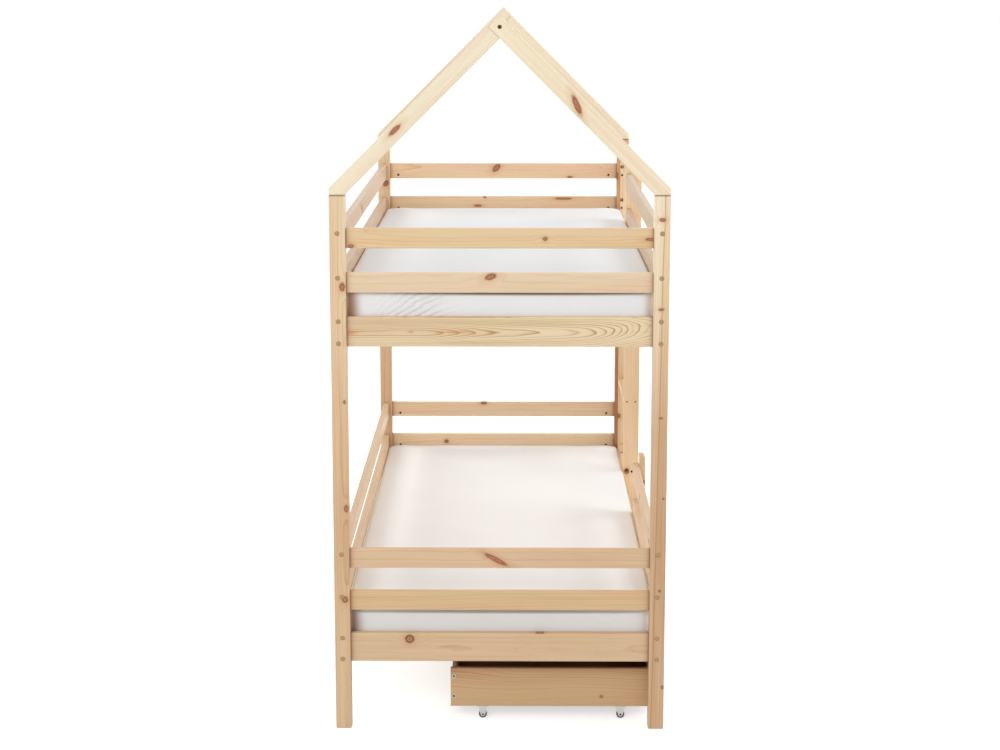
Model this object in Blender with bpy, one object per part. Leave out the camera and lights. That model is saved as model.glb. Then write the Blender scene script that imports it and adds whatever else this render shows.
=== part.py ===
"""House-shaped bunk bed in pine, with a ladder and two drawers on castors, at real size.

Lengths are metres and +Z is up. The bed's front end faces -Y, and its ladder and drawer
fronts face +X. Pieces are placed in bed coordinates: x from the bed's middle plane, y from
the outside of the front end, z from the floor. The empty "bed" carries them all, so that
the origin lies under the middle of the whole outline.
"""

import math

import bmesh
import bpy
from mathutils import Vector

# Frame: posts, rails and guards
BED_WIDTH = 0.980
BED_LENGTH = 2.080
POST = 0.046
POST_HEIGHT = 1.605
BOARD = 0.020
RAIL_HEIGHT = 0.088
GUARD_HEIGHT = 0.0585
GUARD_GAP = 0.071
LOWER_RAIL_BOTTOM = 0.206
POST_ABOVE_GUARD = 0.097
POST_ARRIS = 0.0025
BOARD_ARRIS = 0.003

# Joints between meshes that touch
SEAT = 0.0003
OVERRUN = 0.004

# Bolts, cap holes and barrel nuts
CAP_HOLE_RADIUS = 0.0075
CAP_HOLE_DEPTH = 0.006
NUT_RADIUS = 0.005
NUT_DEPTH = 0.014
NUT_INSET = 0.032
GUARD_BOLT_EDGE = 0.014
SIDE_BOLT_EDGE = 0.0115
END_BOLT_EDGE = 0.030
ROOF_BOLT_RADIUS = 0.0065
ROOF_BOLT_DEPTH = 0.009

# Ladder
LADDER_WIDTH = 0.3977
STILE_WIDTH = 0.058
STILE_BELOW_POST = 0.070
STILE_TOP_RADIUS = 0.015
TREAD_THICKNESS = 0.022
FIRST_TREAD = 0.379
LAST_FOOTHOLD = 0.016
TREAD_COUNT = 3
TREAD_ARRIS = 0.005

# Short guard of the lower bunk
LOWER_ENTRY = 0.573
BATTEN_WIDTH = 0.058
BATTEN_ABOVE_GUARD = 0.037
BATTEN_RADIUS = 0.008

# Slatted bases
LEDGER_WIDTH = 0.022
LEDGER_HEIGHT = 0.020
LEDGER_RISE = 0.0014
SLAT_THICKNESS = 0.018
SLAT_WIDTH = 0.070
SLAT_COUNT = 14
SLAT_END_ROOM = 0.012
SLAT_LET_IN = 0.0015
SLAT_ARRIS = 0.002

# Mattresses
MATTRESS_THICKNESS = 0.133
MATTRESS_ROOM = 0.007
MATTRESS_CORNER = 0.065
MATTRESS_EDGE = 0.022
MATTRESS_CROWN = 0.005
MATTRESS_DRAW_IN = 0.005
MATTRESS_BELLY = 0.004

# Drawers
DRAWER_COUNT = 2
DRAWER_DEPTH = 0.6305
DRAWER_SETBACK = 0.0085
DRAWER_SIDE_ROOM = 0.006
DRAWER_BETWEEN = 0.008
FRONT_THICKNESS = 0.018
FRONT_BOTTOM = 0.030
FRONT_TOP = 0.196
FRONT_OVERHANG = 0.033
FRONT_ARRIS = 0.002
SIDE_THICKNESS = 0.015
SIDE_BOTTOM = 0.0385
SIDE_HEIGHT = 0.120
BACK_THICKNESS = 0.0125
BACK_RECESS = 0.0045
DRAWER_ARRIS = 0.0015
PANEL_THICKNESS = 0.005
PANEL_ARRIS = 0.001
PANEL_RISE = 0.010
GROOVE_DEPTH = 0.005
GRIP_WIDTH = 0.120
GRIP_DEPTH = 0.026
GRIP_RADIUS = 0.018

# Castors
WHEEL_RADIUS = 0.0125
WHEEL_WIDTH = 0.012
WHEEL_EDGE = 0.002
HUB_RADIUS = 0.006
WEB_RECESS = 0.0015
BORE_RADIUS = 0.0025
PIN_RADIUS = 0.0020
WHEEL_INSET = 0.0975
FORK_SHEET = 0.0015
FORK_ROOM = 0.0008
FORK_TOP_WIDTH = 0.023
FORK_END_RADIUS = 0.0065
PLATE_LENGTH = 0.037
PLATE_OVERLAP = 0.0005

# Facets
ARC_STEPS = 3
HOLE_SIDES = 8
WHEEL_STEPS = 16
CORNER_STEPS = 6
MATTRESS_LONG_STEPS = 12
MATTRESS_WIDE_STEPS = 6
MATTRESS_EDGE_STEPS = 3

# Derived places
HALF_WIDTH = BED_WIDTH / 2
POST_INNER = HALF_WIDTH - POST
RAIL_AXIS = HALF_WIDTH - POST / 2
RAIL_INNER = RAIL_AXIS - BOARD / 2
RAIL_OUTER = RAIL_AXIS + BOARD / 2
STILE_OUTER = RAIL_INNER + STILE_WIDTH
MATTRESS_WIDTH = 2 * (RAIL_INNER - MATTRESS_ROOM)
MATTRESS_LENGTH = BED_LENGTH - POST - BOARD - 2 * MATTRESS_ROOM
LADDER_NEAR = BED_LENGTH - POST - SEAT - LADDER_WIDTH
SHORT_GUARD_END = LADDER_NEAR - LOWER_ENTRY
DIAGONAL = math.sqrt(2)
ROOF_HEEL = POST * (DIAGONAL - 1)
ROOF_APEX = POST_HEIGHT + ROOF_HEEL + HALF_WIDTH
BATTEN_OUTER = RAIL_OUTER + SEAT + BOARD
OUTLINE_RIGHT = max(STILE_OUTER, BATTEN_OUTER, HALF_WIDTH)
MIDDLE_X = (OUTLINE_RIGHT - HALF_WIDTH) / 2

BUNK_HEIGHT = RAIL_HEIGHT + 2 * (GUARD_GAP + GUARD_HEIGHT)
UPPER_RAIL_BOTTOM = POST_HEIGHT - POST_ABOVE_GUARD - BUNK_HEIGHT
BUNKS = {"lower": LOWER_RAIL_BOTTOM, "upper": UPPER_RAIL_BOTTOM}
LADDER_TOP = POST_HEIGHT - STILE_BELOW_POST
TREAD_PITCH = (UPPER_RAIL_BOTTOM + LAST_FOOTHOLD - FIRST_TREAD) / TREAD_COUNT
BATTEN_TOP = LOWER_RAIL_BOTTOM + BUNK_HEIGHT + BATTEN_ABOVE_GUARD

# Places of the rings on top of the mattress, from its edge to its middle
CROWN_SHARES = (0.12, 0.34, 0.66, 0.94)

FINISHES = {
    "pine": ((0.80, 0.60, 0.36), 0.45, 0.0),
    "pine_inner": ((0.62, 0.42, 0.23), 0.55, 0.0),
    "hardboard": ((0.16, 0.075, 0.035), 0.5, 0.0),
    "ticking": ((0.90, 0.89, 0.86), 0.85, 0.0),
    "steel": ((0.62, 0.62, 0.61), 0.35, 1.0),
    "wheel": ((0.33, 0.33, 0.32), 0.5, 0.0),
}
ROUND_FINISHES = ("ticking", "wheel")


def clear_scene():
    for obj in list(bpy.data.objects):
        bpy.data.objects.remove(obj, do_unlink=True)


def finish(name):
    """The Principled material of this finish, made when it is first asked for."""
    found = bpy.data.materials.get(name)
    if found:
        return found
    colour, roughness, metallic = FINISHES[name]
    material = bpy.data.materials.new(name)
    material.use_nodes = True
    shader = material.node_tree.nodes["Principled BSDF"]
    shader.inputs["Base Color"].default_value = (*colour, 1)
    shader.inputs["Roughness"].default_value = roughness
    shader.inputs["Metallic"].default_value = metallic
    return material


def empty(name, place, parent=None):
    holder = bpy.data.objects.new(name, None)
    bpy.context.scene.collection.objects.link(holder)
    holder.location = place
    holder.parent = parent
    return holder


def piece(name, shape, place, parent, material="pine"):
    """An object from a bmesh, with its normals outwards and its origin at place."""
    bmesh.ops.recalc_face_normals(shape, faces=shape.faces)
    mesh = bpy.data.meshes.new(name)
    shape.to_mesh(mesh)
    shape.free()
    if material in ROUND_FINISHES:
        mesh.shade_smooth()
        mesh.set_sharp_from_angle(angle=math.radians(35))
    mesh.materials.append(finish(material))
    obj = bpy.data.objects.new(name, mesh)
    bpy.context.scene.collection.objects.link(obj)
    obj.location = place
    obj.parent = parent
    return obj


def helper(name, shape, place, parent, material="pine"):
    """A cutter or an operand of a union, which isn't a piece of the bed."""
    obj = piece(name, shape, place, parent, material)
    obj.hide_render = True
    obj.display_type = "WIRE"
    return obj


def join(target, operand, operation):
    boolean = target.modifiers.new(operand.name, "BOOLEAN")
    boolean.operation = operation
    boolean.solver = "EXACT"
    boolean.object = operand
    if operation == "UNION":
        boolean.material_mode = "TRANSFER"


def round_edges(target, width):
    bevel = target.modifiers.new("arris", "BEVEL")
    bevel.width = width
    bevel.segments = 2
    bevel.limit_method = "ANGLE"
    bevel.angle_limit = math.radians(40)


def arc(centre, radius, start, end, steps=ARC_STEPS):
    """Points on an arc from start to end, in degrees."""
    turns = [math.radians(start + (end - start) * i / steps) for i in range(steps + 1)]
    return [(centre[0] + radius * math.cos(a), centre[1] + radius * math.sin(a)) for a in turns]


def rounded_section(width, height, radius, steps=ARC_STEPS):
    """A rectangle about the origin with its four corners rounded."""
    u = width / 2 - radius
    v = height / 2 - radius
    corners = (((u, v), 0), ((-u, v), 90), ((-u, -v), 180), ((u, -v), 270))
    return [p for centre, start in corners for p in arc(centre, radius, start, start + 90, steps)]


def box_section(low, high):
    return [(low[0], low[1]), (high[0], low[1]), (high[0], high[1]), (low[0], high[1])]


def prism(shape, section, along, start, end):
    """Adds a section carried along one axis, as a closed solid, to a bmesh."""
    across = [axis for axis in range(3) if axis != along]

    def point(pair, level):
        co = Vector((0, 0, 0))
        co[across[0]], co[across[1]] = pair
        co[along] = level
        return co

    verts = [shape.verts.new(point(pair, start)) for pair in section]
    face = shape.faces.new(verts)
    moved = bmesh.ops.extrude_face_region(shape, geom=[face])["geom"]
    tops = [v for v in moved if isinstance(v, bmesh.types.BMVert)]
    step = Vector((0, 0, 0))
    step[along] = end - start
    bmesh.ops.translate(shape, vec=step, verts=tops)


def solid(section, along, start, end):
    shape = bmesh.new()
    prism(shape, section, along, start, end)
    return shape


def board(name, low, high, along, parent, arris=BOARD_ARRIS, material="pine"):
    """A planed board with rounded arrises between two corners, its grain along one axis."""
    low = Vector(low)
    high = Vector(high)
    size = high - low
    across = [axis for axis in range(3) if axis != along]
    section = rounded_section(size[across[0]], size[across[1]], arris)
    shape = solid(section, along, -size[along] / 2, size[along] / 2)
    return piece(name, shape, (low + high) / 2, parent, material)


def drilled(target, parent, holes):
    """Cuts blind holes, each given by its mouth, its way in, its radius and its depth."""
    shape = bmesh.new()
    for mouth, inward, radius, depth in holes:
        inward = Vector(inward)
        length = depth + OVERRUN
        middle = Vector(mouth) + inward * (length / 2 - OVERRUN)
        turn = inward.to_track_quat("Z", "Y").to_matrix().to_4x4()
        turn.translation = middle - target.location
        bmesh.ops.create_cone(
            shape, cap_ends=True, segments=HOLE_SIDES, radius1=radius, radius2=radius,
            depth=length, matrix=turn,
        )
    join(target, helper(target.name + "_holes", shape, target.location, parent), "DIFFERENCE")


def levels(bottom):
    """The boards of one bunk, from the rail up: name, lowest and highest z."""
    rail_top = bottom + RAIL_HEIGHT
    low_guard = rail_top + GUARD_GAP
    high_guard = low_guard + GUARD_HEIGHT + GUARD_GAP
    return (
        ("rail", bottom, rail_top),
        ("guard_low", low_guard, low_guard + GUARD_HEIGHT),
        ("guard_high", high_guard, high_guard + GUARD_HEIGHT),
    )


def side_bolts(kind, low, high):
    """Heights of the bolts along Y into a side board."""
    if kind == "rail":
        return (low + SIDE_BOLT_EDGE, high - SIDE_BOLT_EDGE)
    return (high - GUARD_BOLT_EDGE,)


def end_bolts(kind, low, high):
    """Heights of the bolts along X into an end board, clear of the side bolts."""
    if kind == "rail":
        return (low + END_BOLT_EDGE, high - END_BOLT_EDGE)
    return (low + GUARD_BOLT_EDGE,)


def all_heights(bolts):
    """The heights of one kind of bolt on a whole post, over both bunks."""
    boards = [board_levels for bottom in BUNKS.values() for board_levels in levels(bottom)]
    return [z for kind, low, high in boards for z in bolts(kind, low, high)]


def make_post(name, side, end, bed):
    """A square post, drilled for the bolts of its side boards and of its end boards."""
    x = side * RAIL_AXIS
    y = POST / 2 if end < 0 else BED_LENGTH - POST / 2
    half = POST / 2
    section = box_section((-half, -half), (half, half))
    shape = solid(section, 2, -POST_HEIGHT / 2, POST_HEIGHT / 2)
    post = piece(name, shape, (x, y, POST_HEIGHT / 2), bed)
    round_edges(post, POST_ARRIS)
    holes = [((x, y + end * half, z), (0, -end, 0)) for z in all_heights(side_bolts)]
    holes += [((x + side * half, y, z), (-side, 0, 0)) for z in all_heights(end_bolts)]
    drilled(post, bed, [(mouth, way, CAP_HOLE_RADIUS, CAP_HOLE_DEPTH) for mouth, way in holes])


def make_end_board(name, kind, low, high, end, bed):
    """A board across one end, between the posts, with its barrel nuts on the inside."""
    reach = POST_INNER - SEAT
    y = POST / 2 if end < 0 else BED_LENGTH - POST / 2
    half = BOARD / 2
    made = board(name, (-reach, y - half, low), (reach, y + half, high), 0, bed)
    places = [(side * (reach - NUT_INSET), z) for side in (-1, 1) for z in end_bolts(kind, low, high)]
    drilled(made, bed, [((x, y - end * half, z), (0, end, 0), NUT_RADIUS, NUT_DEPTH) for x, z in places])


def make_side_board(name, kind, low, high, side, start, stop, bed):
    """A board along one side, from start to stop, with its barrel nuts on the inside."""
    x = side * RAIL_AXIS
    half = BOARD / 2
    made = board(name, (x - half, start, low), (x + half, stop, high), 1, bed)
    ends = [start + NUT_INSET]
    if stop > SHORT_GUARD_END:
        ends.append(stop - NUT_INSET)
    places = [(y, z) for y in ends for z in side_bolts(kind, low, high)]
    drilled(made, bed, [((x - side * half, y, z), (side, 0, 0), NUT_RADIUS, NUT_DEPTH) for y, z in places])


def side_reach(bunk, kind, side):
    """Where a side board starts and stops along the bed."""
    start = POST + SEAT
    if side > 0 and kind != "rail":
        return start, LADDER_NEAR - SEAT if bunk == "upper" else SHORT_GUARD_END
    return start, BED_LENGTH - POST - SEAT


def make_frame(bed):
    for side, left_right in ((-1, "left"), (1, "right")):
        for end, front_rear in ((-1, "front"), (1, "rear")):
            make_post(f"post_{front_rear}_{left_right}", side, end, bed)
    for bunk, bottom in BUNKS.items():
        for kind, low, high in levels(bottom):
            for end, where in ((-1, "front"), (1, "rear")):
                make_end_board(f"{bunk}_{where}_{kind}", kind, low, high, end, bed)
            for side, where in ((-1, "left"), (1, "right")):
                start, stop = side_reach(bunk, kind, side)
                make_side_board(f"{bunk}_{where}_{kind}", kind, low, high, side, start, stop, bed)


def rafter_outline(side):
    """One rafter seen from the front: a flat seat on the post, a short heel, then 45 degrees up
    to the ridge, where its square end follows the other slope."""
    tip = POST / DIAGONAL
    seat = POST_HEIGHT + SEAT
    points = [
        (HALF_WIDTH, seat),
        (HALF_WIDTH, POST_HEIGHT + ROOF_HEEL),
        (0, ROOF_APEX),
        (-tip, ROOF_APEX - tip),
        (POST_INNER, seat),
    ]
    return [(side * x, z) for x, z in points]


def lap_outline(side):
    """The square that a rafter gives up to the other one at the ridge, open beyond the rafter."""
    reach = OVERRUN + POST / DIAGONAL
    beyond = reach + POST
    foot = ROOF_APEX - (POST + SEAT) * DIAGONAL
    level = foot + reach
    return [(0, foot), (side * reach, level), (0, level + beyond), (-side * beyond, level)]


def make_rafter(name, side, end, bed):
    """A rafter, halved at the ridge: the right one keeps its outer half and the left its inner."""
    outer = 0 if end < 0 else BED_LENGTH
    inward = -end
    reach = sorted((outer, outer + inward * POST))
    rafter = piece(name, solid(rafter_outline(side), 1, *reach), (0, 0, 0), bed)
    round_edges(rafter, POST_ARRIS)
    middle = outer + inward * POST / 2
    if side > 0:
        cut = (middle - inward * SEAT / 2, outer + inward * (POST + OVERRUN))
    else:
        cut = (outer - inward * OVERRUN, middle + inward * SEAT / 2)
    lap = helper(name + "_lap", solid(lap_outline(side), 1, *sorted(cut)), (0, 0, 0), bed)
    join(rafter, lap, "DIFFERENCE")
    if side > 0:
        mouth = (0, outer, ROOF_APEX - POST / DIAGONAL)
        drilled(rafter, bed, [(mouth, (0, inward, 0), ROOF_BOLT_RADIUS, ROOF_BOLT_DEPTH)])


def stile_outline():
    """A ladder stile seen from the front: notched round both side rails, its outer top corner round."""
    corner = (STILE_OUTER - STILE_TOP_RADIUS, LADDER_TOP - STILE_TOP_RADIUS)
    points = [(RAIL_INNER, 0), (STILE_OUTER, 0)]
    points += arc(corner, STILE_TOP_RADIUS, 0, 90)
    points.append((RAIL_INNER, LADDER_TOP))
    for bunk in ("upper", "lower"):
        low = BUNKS[bunk] - SEAT
        high = BUNKS[bunk] + RAIL_HEIGHT + SEAT
        deep = RAIL_OUTER + SEAT
        points += [(RAIL_INNER, high), (deep, high), (deep, low), (RAIL_INNER, low)]
    return points


def make_ladder(bed):
    near = (LADDER_NEAR, LADDER_NEAR + BOARD)
    far_face = BED_LENGTH - POST - SEAT
    far = (far_face - BOARD, far_face)
    for name, reach in (("ladder_stile_near", near), ("ladder_stile_far", far)):
        stile = piece(name, solid(stile_outline(), 1, *reach), (0, 0, 0), bed)
        round_edges(stile, DRAWER_ARRIS)
    for n in range(TREAD_COUNT):
        z = FIRST_TREAD + n * TREAD_PITCH
        low = (RAIL_INNER, near[1] + SEAT, z - TREAD_THICKNESS / 2)
        high = (STILE_OUTER, far[0] - SEAT, z + TREAD_THICKNESS / 2)
        board(f"ladder_tread_{n + 1}", low, high, 1, bed, arris=TREAD_ARRIS)


def make_batten(bed):
    """The upright that ties the short guard of the lower bunk to the side rail, outside them."""
    inner = RAIL_OUTER + SEAT
    corner = (BATTEN_OUTER - BATTEN_RADIUS, BATTEN_TOP - BATTEN_RADIUS)
    outline = [(inner, LOWER_RAIL_BOTTOM), (BATTEN_OUTER, LOWER_RAIL_BOTTOM)]
    outline += arc(corner, BATTEN_RADIUS, 0, 90)
    outline.append((inner, BATTEN_TOP))
    shape = solid(outline, 1, SHORT_GUARD_END - BATTEN_WIDTH, SHORT_GUARD_END)
    round_edges(piece("lower_guard_batten", shape, (0, 0, 0), bed), DRAWER_ARRIS)


def slat_levels(bottom):
    """Heights of the ledger's bottom and top and of the slats' top, for one bunk."""
    ledger = bottom + LEDGER_RISE
    ledger_top = ledger + LEDGER_HEIGHT
    return ledger, ledger_top, ledger_top - SLAT_LET_IN + SLAT_THICKNESS


def make_slat_base(bunk, bottom, bed):
    """Slats let into two ledgers that run along the side rails."""
    ledger, ledger_top, slat_top = slat_levels(bottom)
    outer = RAIL_INNER - SEAT
    inner = outer - LEDGER_WIDTH
    first = POST + SLAT_END_ROOM
    last = BED_LENGTH - first
    base = bmesh.new()
    for side in (-1, 1):
        across = sorted((side * inner, side * outer))
        section = rounded_section(LEDGER_WIDTH, LEDGER_HEIGHT, SLAT_ARRIS, steps=1)
        centre = (sum(across) / 2, (ledger + ledger_top) / 2)
        prism(base, [(centre[0] + u, centre[1] + v) for u, v in section], 1, first, last)
    ledgers = piece(f"{bunk}_slat_base", base, (0, 0, 0), bed, "pine_inner")
    slats = bmesh.new()
    pitch = (last - first - SLAT_WIDTH) / (SLAT_COUNT - 1)
    for n in range(SLAT_COUNT):
        y = first + SLAT_WIDTH / 2 + n * pitch
        z = slat_top - SLAT_THICKNESS / 2
        section = rounded_section(SLAT_WIDTH, SLAT_THICKNESS, SLAT_ARRIS, steps=1)
        prism(slats, [(y + u, z + v) for u, v in section], 0, -outer + SEAT, outer - SEAT)
    join(ledgers, helper(f"{bunk}_slats", slats, (0, 0, 0), bed), "UNION")
    return slat_top


def mattress_ring(inset):
    """The mattress outline drawn in by inset: round corners joined by sides that pull in."""
    radius = max(MATTRESS_CORNER - inset, MATTRESS_EDGE / 2)
    u = MATTRESS_WIDTH / 2 - inset - radius
    v = MATTRESS_LENGTH / 2 - inset - radius
    centres = ((u, v), (-u, v), (-u, -v), (u, -v))
    corners = [arc(c, radius, 90 * turn, 90 * turn + 90, CORNER_STEPS) for turn, c in enumerate(centres)]
    side_steps = (MATTRESS_WIDE_STEPS, MATTRESS_LONG_STEPS)
    points = []
    for turn, corner in enumerate(corners):
        points += corner
        start = Vector(corner[-1])
        end = Vector(corners[(turn + 1) % 4][0])
        outward = (start - Vector(centres[turn])).normalized()
        steps = side_steps[turn % 2]
        for i in range(1, steps):
            pull = MATTRESS_DRAW_IN * math.sin(math.pi * i / steps) ** 2
            points.append(start.lerp(end, i / steps) - outward * pull)
    return points


def mattress_profile():
    """Inset and height round the mattress, from the edge of its flat bottom to its crown."""
    edge = MATTRESS_EDGE
    top = MATTRESS_THICKNESS
    profile = arc((edge, edge), edge, -90, -180, MATTRESS_EDGE_STEPS)
    profile.append((-MATTRESS_BELLY, top / 2))
    profile += arc((edge, top - edge), edge, 180, 90, MATTRESS_EDGE_STEPS)
    reach = MATTRESS_WIDTH / 2 - edge
    for share in CROWN_SHARES:
        rise = MATTRESS_CROWN * math.sin(share * math.pi / 2)
        profile.append((edge + share * reach, top + rise))
    return profile


def make_mattress(bunk, slat_top, bed):
    """A foam mattress in a ticking cover, made of outline rings from the bottom to the crown."""
    shape = bmesh.new()
    rings = []
    for inset, z in mattress_profile():
        rings.append([shape.verts.new((x, y, z)) for x, y in mattress_ring(inset)])
    count = len(rings[0])
    for lower, upper in zip(rings, rings[1:]):
        for i in range(count):
            j = (i + 1) % count
            shape.faces.new((lower[i], lower[j], upper[j], upper[i]))
    shape.faces.new(rings[0])
    shape.faces.new(rings[-1])
    place = (0, BED_LENGTH / 2, slat_top + SEAT)
    piece(f"{bunk}_mattress", shape, place, bed, "ticking")


def drawer_width():
    bay = LADDER_NEAR - POST - 2 * DRAWER_SIDE_ROOM - (DRAWER_COUNT - 1) * DRAWER_BETWEEN
    return bay / DRAWER_COUNT


def front_outline(width):
    """A drawer front seen from the side of the bed, with a rounded hand grip in its top edge."""
    grip = GRIP_WIDTH / 2
    floor = FRONT_TOP - GRIP_DEPTH
    inner = grip - GRIP_RADIUS
    points = [(-width / 2, FRONT_BOTTOM), (width / 2, FRONT_BOTTOM)]
    points += [(width / 2, FRONT_TOP), (grip, FRONT_TOP)]
    points += arc((inner, floor + GRIP_RADIUS), GRIP_RADIUS, 0, -90)
    points += arc((-inner, floor + GRIP_RADIUS), GRIP_RADIUS, -90, -180)
    points += [(-grip, FRONT_TOP), (-width / 2, FRONT_TOP)]
    return points


def fork_cheek(x):
    """One cheek of a castor fork: straight from the plate, narrowing to a round end at the axle."""
    half = FORK_TOP_WIDTH / 2
    shoulder = SIDE_BOTTOM - (SIDE_BOTTOM - WHEEL_RADIUS) / 2
    points = [(x - half, SIDE_BOTTOM), (x - half, shoulder)]
    points += arc((x, WHEEL_RADIUS), FORK_END_RADIUS, 180, 360, 2 * ARC_STEPS)
    points += [(x + half, shoulder), (x + half, SIDE_BOTTOM)]
    return points


def add_forks(side, wheel_places, y, drawer):
    """Fuses a castor fork under the side board at each place: plate, two cheeks and axle pin."""
    outside = WHEEL_WIDTH / 2 + FORK_ROOM + FORK_SHEET
    plates = bmesh.new()
    cheeks = bmesh.new()
    pins = bmesh.new()
    for x in wheel_places:
        half = PLATE_LENGTH / 2
        section = box_section((x - half, y - outside), (x + half, y + outside))
        prism(plates, section, 2, SIDE_BOTTOM - FORK_SHEET, SIDE_BOTTOM + PLATE_OVERLAP)
        for way in (-1, 1):
            reach = sorted((y + way * outside, y + way * (outside - FORK_SHEET)))
            prism(cheeks, fork_cheek(x), 1, *reach)
        section = [(x + u, WHEEL_RADIUS + v) for u, v in arc((0, 0), PIN_RADIUS, 0, 360, HOLE_SIDES)[:-1]]
        prism(pins, section, 1, y - outside - PLATE_OVERLAP, y + outside + PLATE_OVERLAP)
    for label, shape in (("plates", plates), ("cheeks", cheeks), ("pins", pins)):
        join(side, helper(f"{side.name}_{label}", shape, (0, 0, 0), drawer, "steel"), "UNION")


def make_wheel(name, place, drawer):
    """A castor wheel turned about its axle: a rim with soft edges, a web and a bored hub."""
    half = WHEEL_WIDTH / 2
    web = half - WEB_RECESS
    rim = WHEEL_RADIUS - WHEEL_EDGE
    sides = [(BORE_RADIUS, half), (HUB_RADIUS, half), (HUB_RADIUS, web), (rim, half),
             (WHEEL_RADIUS, half - WHEEL_EDGE)]
    profile = sides + [(r, -y) for r, y in reversed(sides)]
    shape = bmesh.new()
    verts = [shape.verts.new((r, y, 0)) for r, y in profile]
    edges = [shape.edges.new((a, b)) for a, b in zip(verts, verts[1:] + verts[:1])]
    bmesh.ops.spin(shape, geom=verts + edges, cent=(0, 0, 0), axis=(0, 1, 0),
                   angle=2 * math.pi, steps=WHEEL_STEPS, use_merge=True)
    piece(name, shape, place, drawer, "wheel")


def make_drawer(name, start, width, bed):
    """One drawer: a front that overhangs, two sides on castors, a back and a bottom held in grooves."""
    drawer = empty(name, (0, start + width / 2, 0), bed)
    front_face = HALF_WIDTH - DRAWER_SETBACK
    front_back = front_face - FRONT_THICKNESS
    rear = front_face - DRAWER_DEPTH
    shape = solid(front_outline(width), 0, front_back, front_face)
    round_edges(piece(name + "_front", shape, (0, 0, 0), drawer), FRONT_ARRIS)

    side_outer = width / 2 - FRONT_OVERHANG
    side_inner = side_outer - SIDE_THICKNESS
    back = (rear + BACK_RECESS, rear + BACK_RECESS + BACK_THICKNESS)
    panel = SIDE_BOTTOM + PANEL_RISE
    top = SIDE_BOTTOM + SIDE_HEIGHT
    groove = box_section((back[1] - GROOVE_DEPTH, panel - SEAT),
                         (front_back + OVERRUN, panel + PANEL_THICKNESS + SEAT))
    wheel_places = (rear + WHEEL_INSET, front_back - WHEEL_INSET)
    for way, where in ((-1, "near"), (1, "far")):
        y = sorted((way * side_inner, way * side_outer))
        low = (rear, y[0], SIDE_BOTTOM)
        high = (front_back - SEAT, y[1], top)
        side = board(f"{name}_side_{where}", low, high, 0, drawer, DRAWER_ARRIS, "pine_inner")
        cut = sorted((way * (side_inner - OVERRUN), way * (side_inner + GROOVE_DEPTH)))
        join(side, helper(side.name + "_groove", solid(groove, 1, *cut), (0, 0, 0), drawer), "DIFFERENCE")
        axle = sum(y) / 2
        add_forks(side, wheel_places, axle, drawer)
        for label, x in zip(("rear", "front"), wheel_places):
            make_wheel(f"{name}_wheel_{where}_{label}", (x, axle, WHEEL_RADIUS), drawer)

    reach = side_inner - SEAT
    low = (back[0], -reach, SIDE_BOTTOM)
    made = board(f"{name}_back", low, (back[1], reach, top), 1, drawer, DRAWER_ARRIS, "pine_inner")
    cut = helper(made.name + "_groove", solid(groove, 1, -width / 2, width / 2), (0, 0, 0), drawer)
    join(made, cut, "DIFFERENCE")

    held = GROOVE_DEPTH - SEAT
    low = (back[1] - held, -side_inner - held, panel)
    high = (front_back - SEAT, side_inner + held, panel + PANEL_THICKNESS)
    board(name + "_bottom", low, high, 0, drawer, PANEL_ARRIS, "hardboard")


def make_drawers(bed):
    width = drawer_width()
    for n, name in enumerate(("front_drawer", "rear_drawer")[:DRAWER_COUNT]):
        make_drawer(name, POST + DRAWER_SIDE_ROOM + n * (width + DRAWER_BETWEEN), width, bed)


def main():
    clear_scene()
    bed = empty("bed", (-MIDDLE_X, -BED_LENGTH / 2, 0))
    make_frame(bed)
    for side, left_right in ((-1, "left"), (1, "right")):
        for end, front_rear in ((-1, "front"), (1, "rear")):
            make_rafter(f"rafter_{front_rear}_{left_right}", side, end, bed)
    make_ladder(bed)
    make_batten(bed)
    for bunk, bottom in BUNKS.items():
        make_mattress(bunk, make_slat_base(bunk, bottom, bed), bed)
    make_drawers(bed)


main()
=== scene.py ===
# %% [markdown]
# The object is a bunk bed of solid pine with two sleeping levels. A pitched frame at each end makes
# the outline of a house, a fixed ladder stands at the far right corner, and two drawers on small
# castors stand under the lower bunk.
#
# The timber itself is already there at its real size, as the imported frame. This lesson gives each
# board its own pine, makes the two mattresses, and adds what a joiner adds last: caps over the
# bolts, barrel nuts, screws, castor wheels and their rivets.

# %% Load the frame
import math

import bpy
import numpy as np
from mathutils import Matrix, Vector


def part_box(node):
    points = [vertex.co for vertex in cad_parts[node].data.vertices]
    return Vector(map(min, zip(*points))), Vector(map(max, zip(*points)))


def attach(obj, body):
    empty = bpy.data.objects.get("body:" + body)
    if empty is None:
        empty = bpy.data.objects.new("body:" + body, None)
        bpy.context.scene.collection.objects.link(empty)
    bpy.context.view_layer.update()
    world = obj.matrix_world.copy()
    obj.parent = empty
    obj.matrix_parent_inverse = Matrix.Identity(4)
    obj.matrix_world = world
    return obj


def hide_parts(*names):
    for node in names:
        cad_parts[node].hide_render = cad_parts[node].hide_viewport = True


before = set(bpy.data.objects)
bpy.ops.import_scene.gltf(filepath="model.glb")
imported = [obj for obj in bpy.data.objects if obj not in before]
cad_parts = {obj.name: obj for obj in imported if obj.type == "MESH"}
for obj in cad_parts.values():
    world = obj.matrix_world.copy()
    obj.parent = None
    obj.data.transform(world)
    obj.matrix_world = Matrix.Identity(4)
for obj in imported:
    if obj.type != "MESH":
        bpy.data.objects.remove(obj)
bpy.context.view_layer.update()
scene = bpy.context.scene

# %% [markdown]
# Sizes in the frame are metres. To place a screw or a knot it helps to count from the bed itself:
# x from its middle plane, y from the outside of its front end, z from the floor. The origin of the
# frame lies under the middle of the whole outline, so one fixed step leads from one to the other.

# %% Bed coordinates
MIDDLE = np.array([0.0125, 1.04, 0.0])


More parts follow.
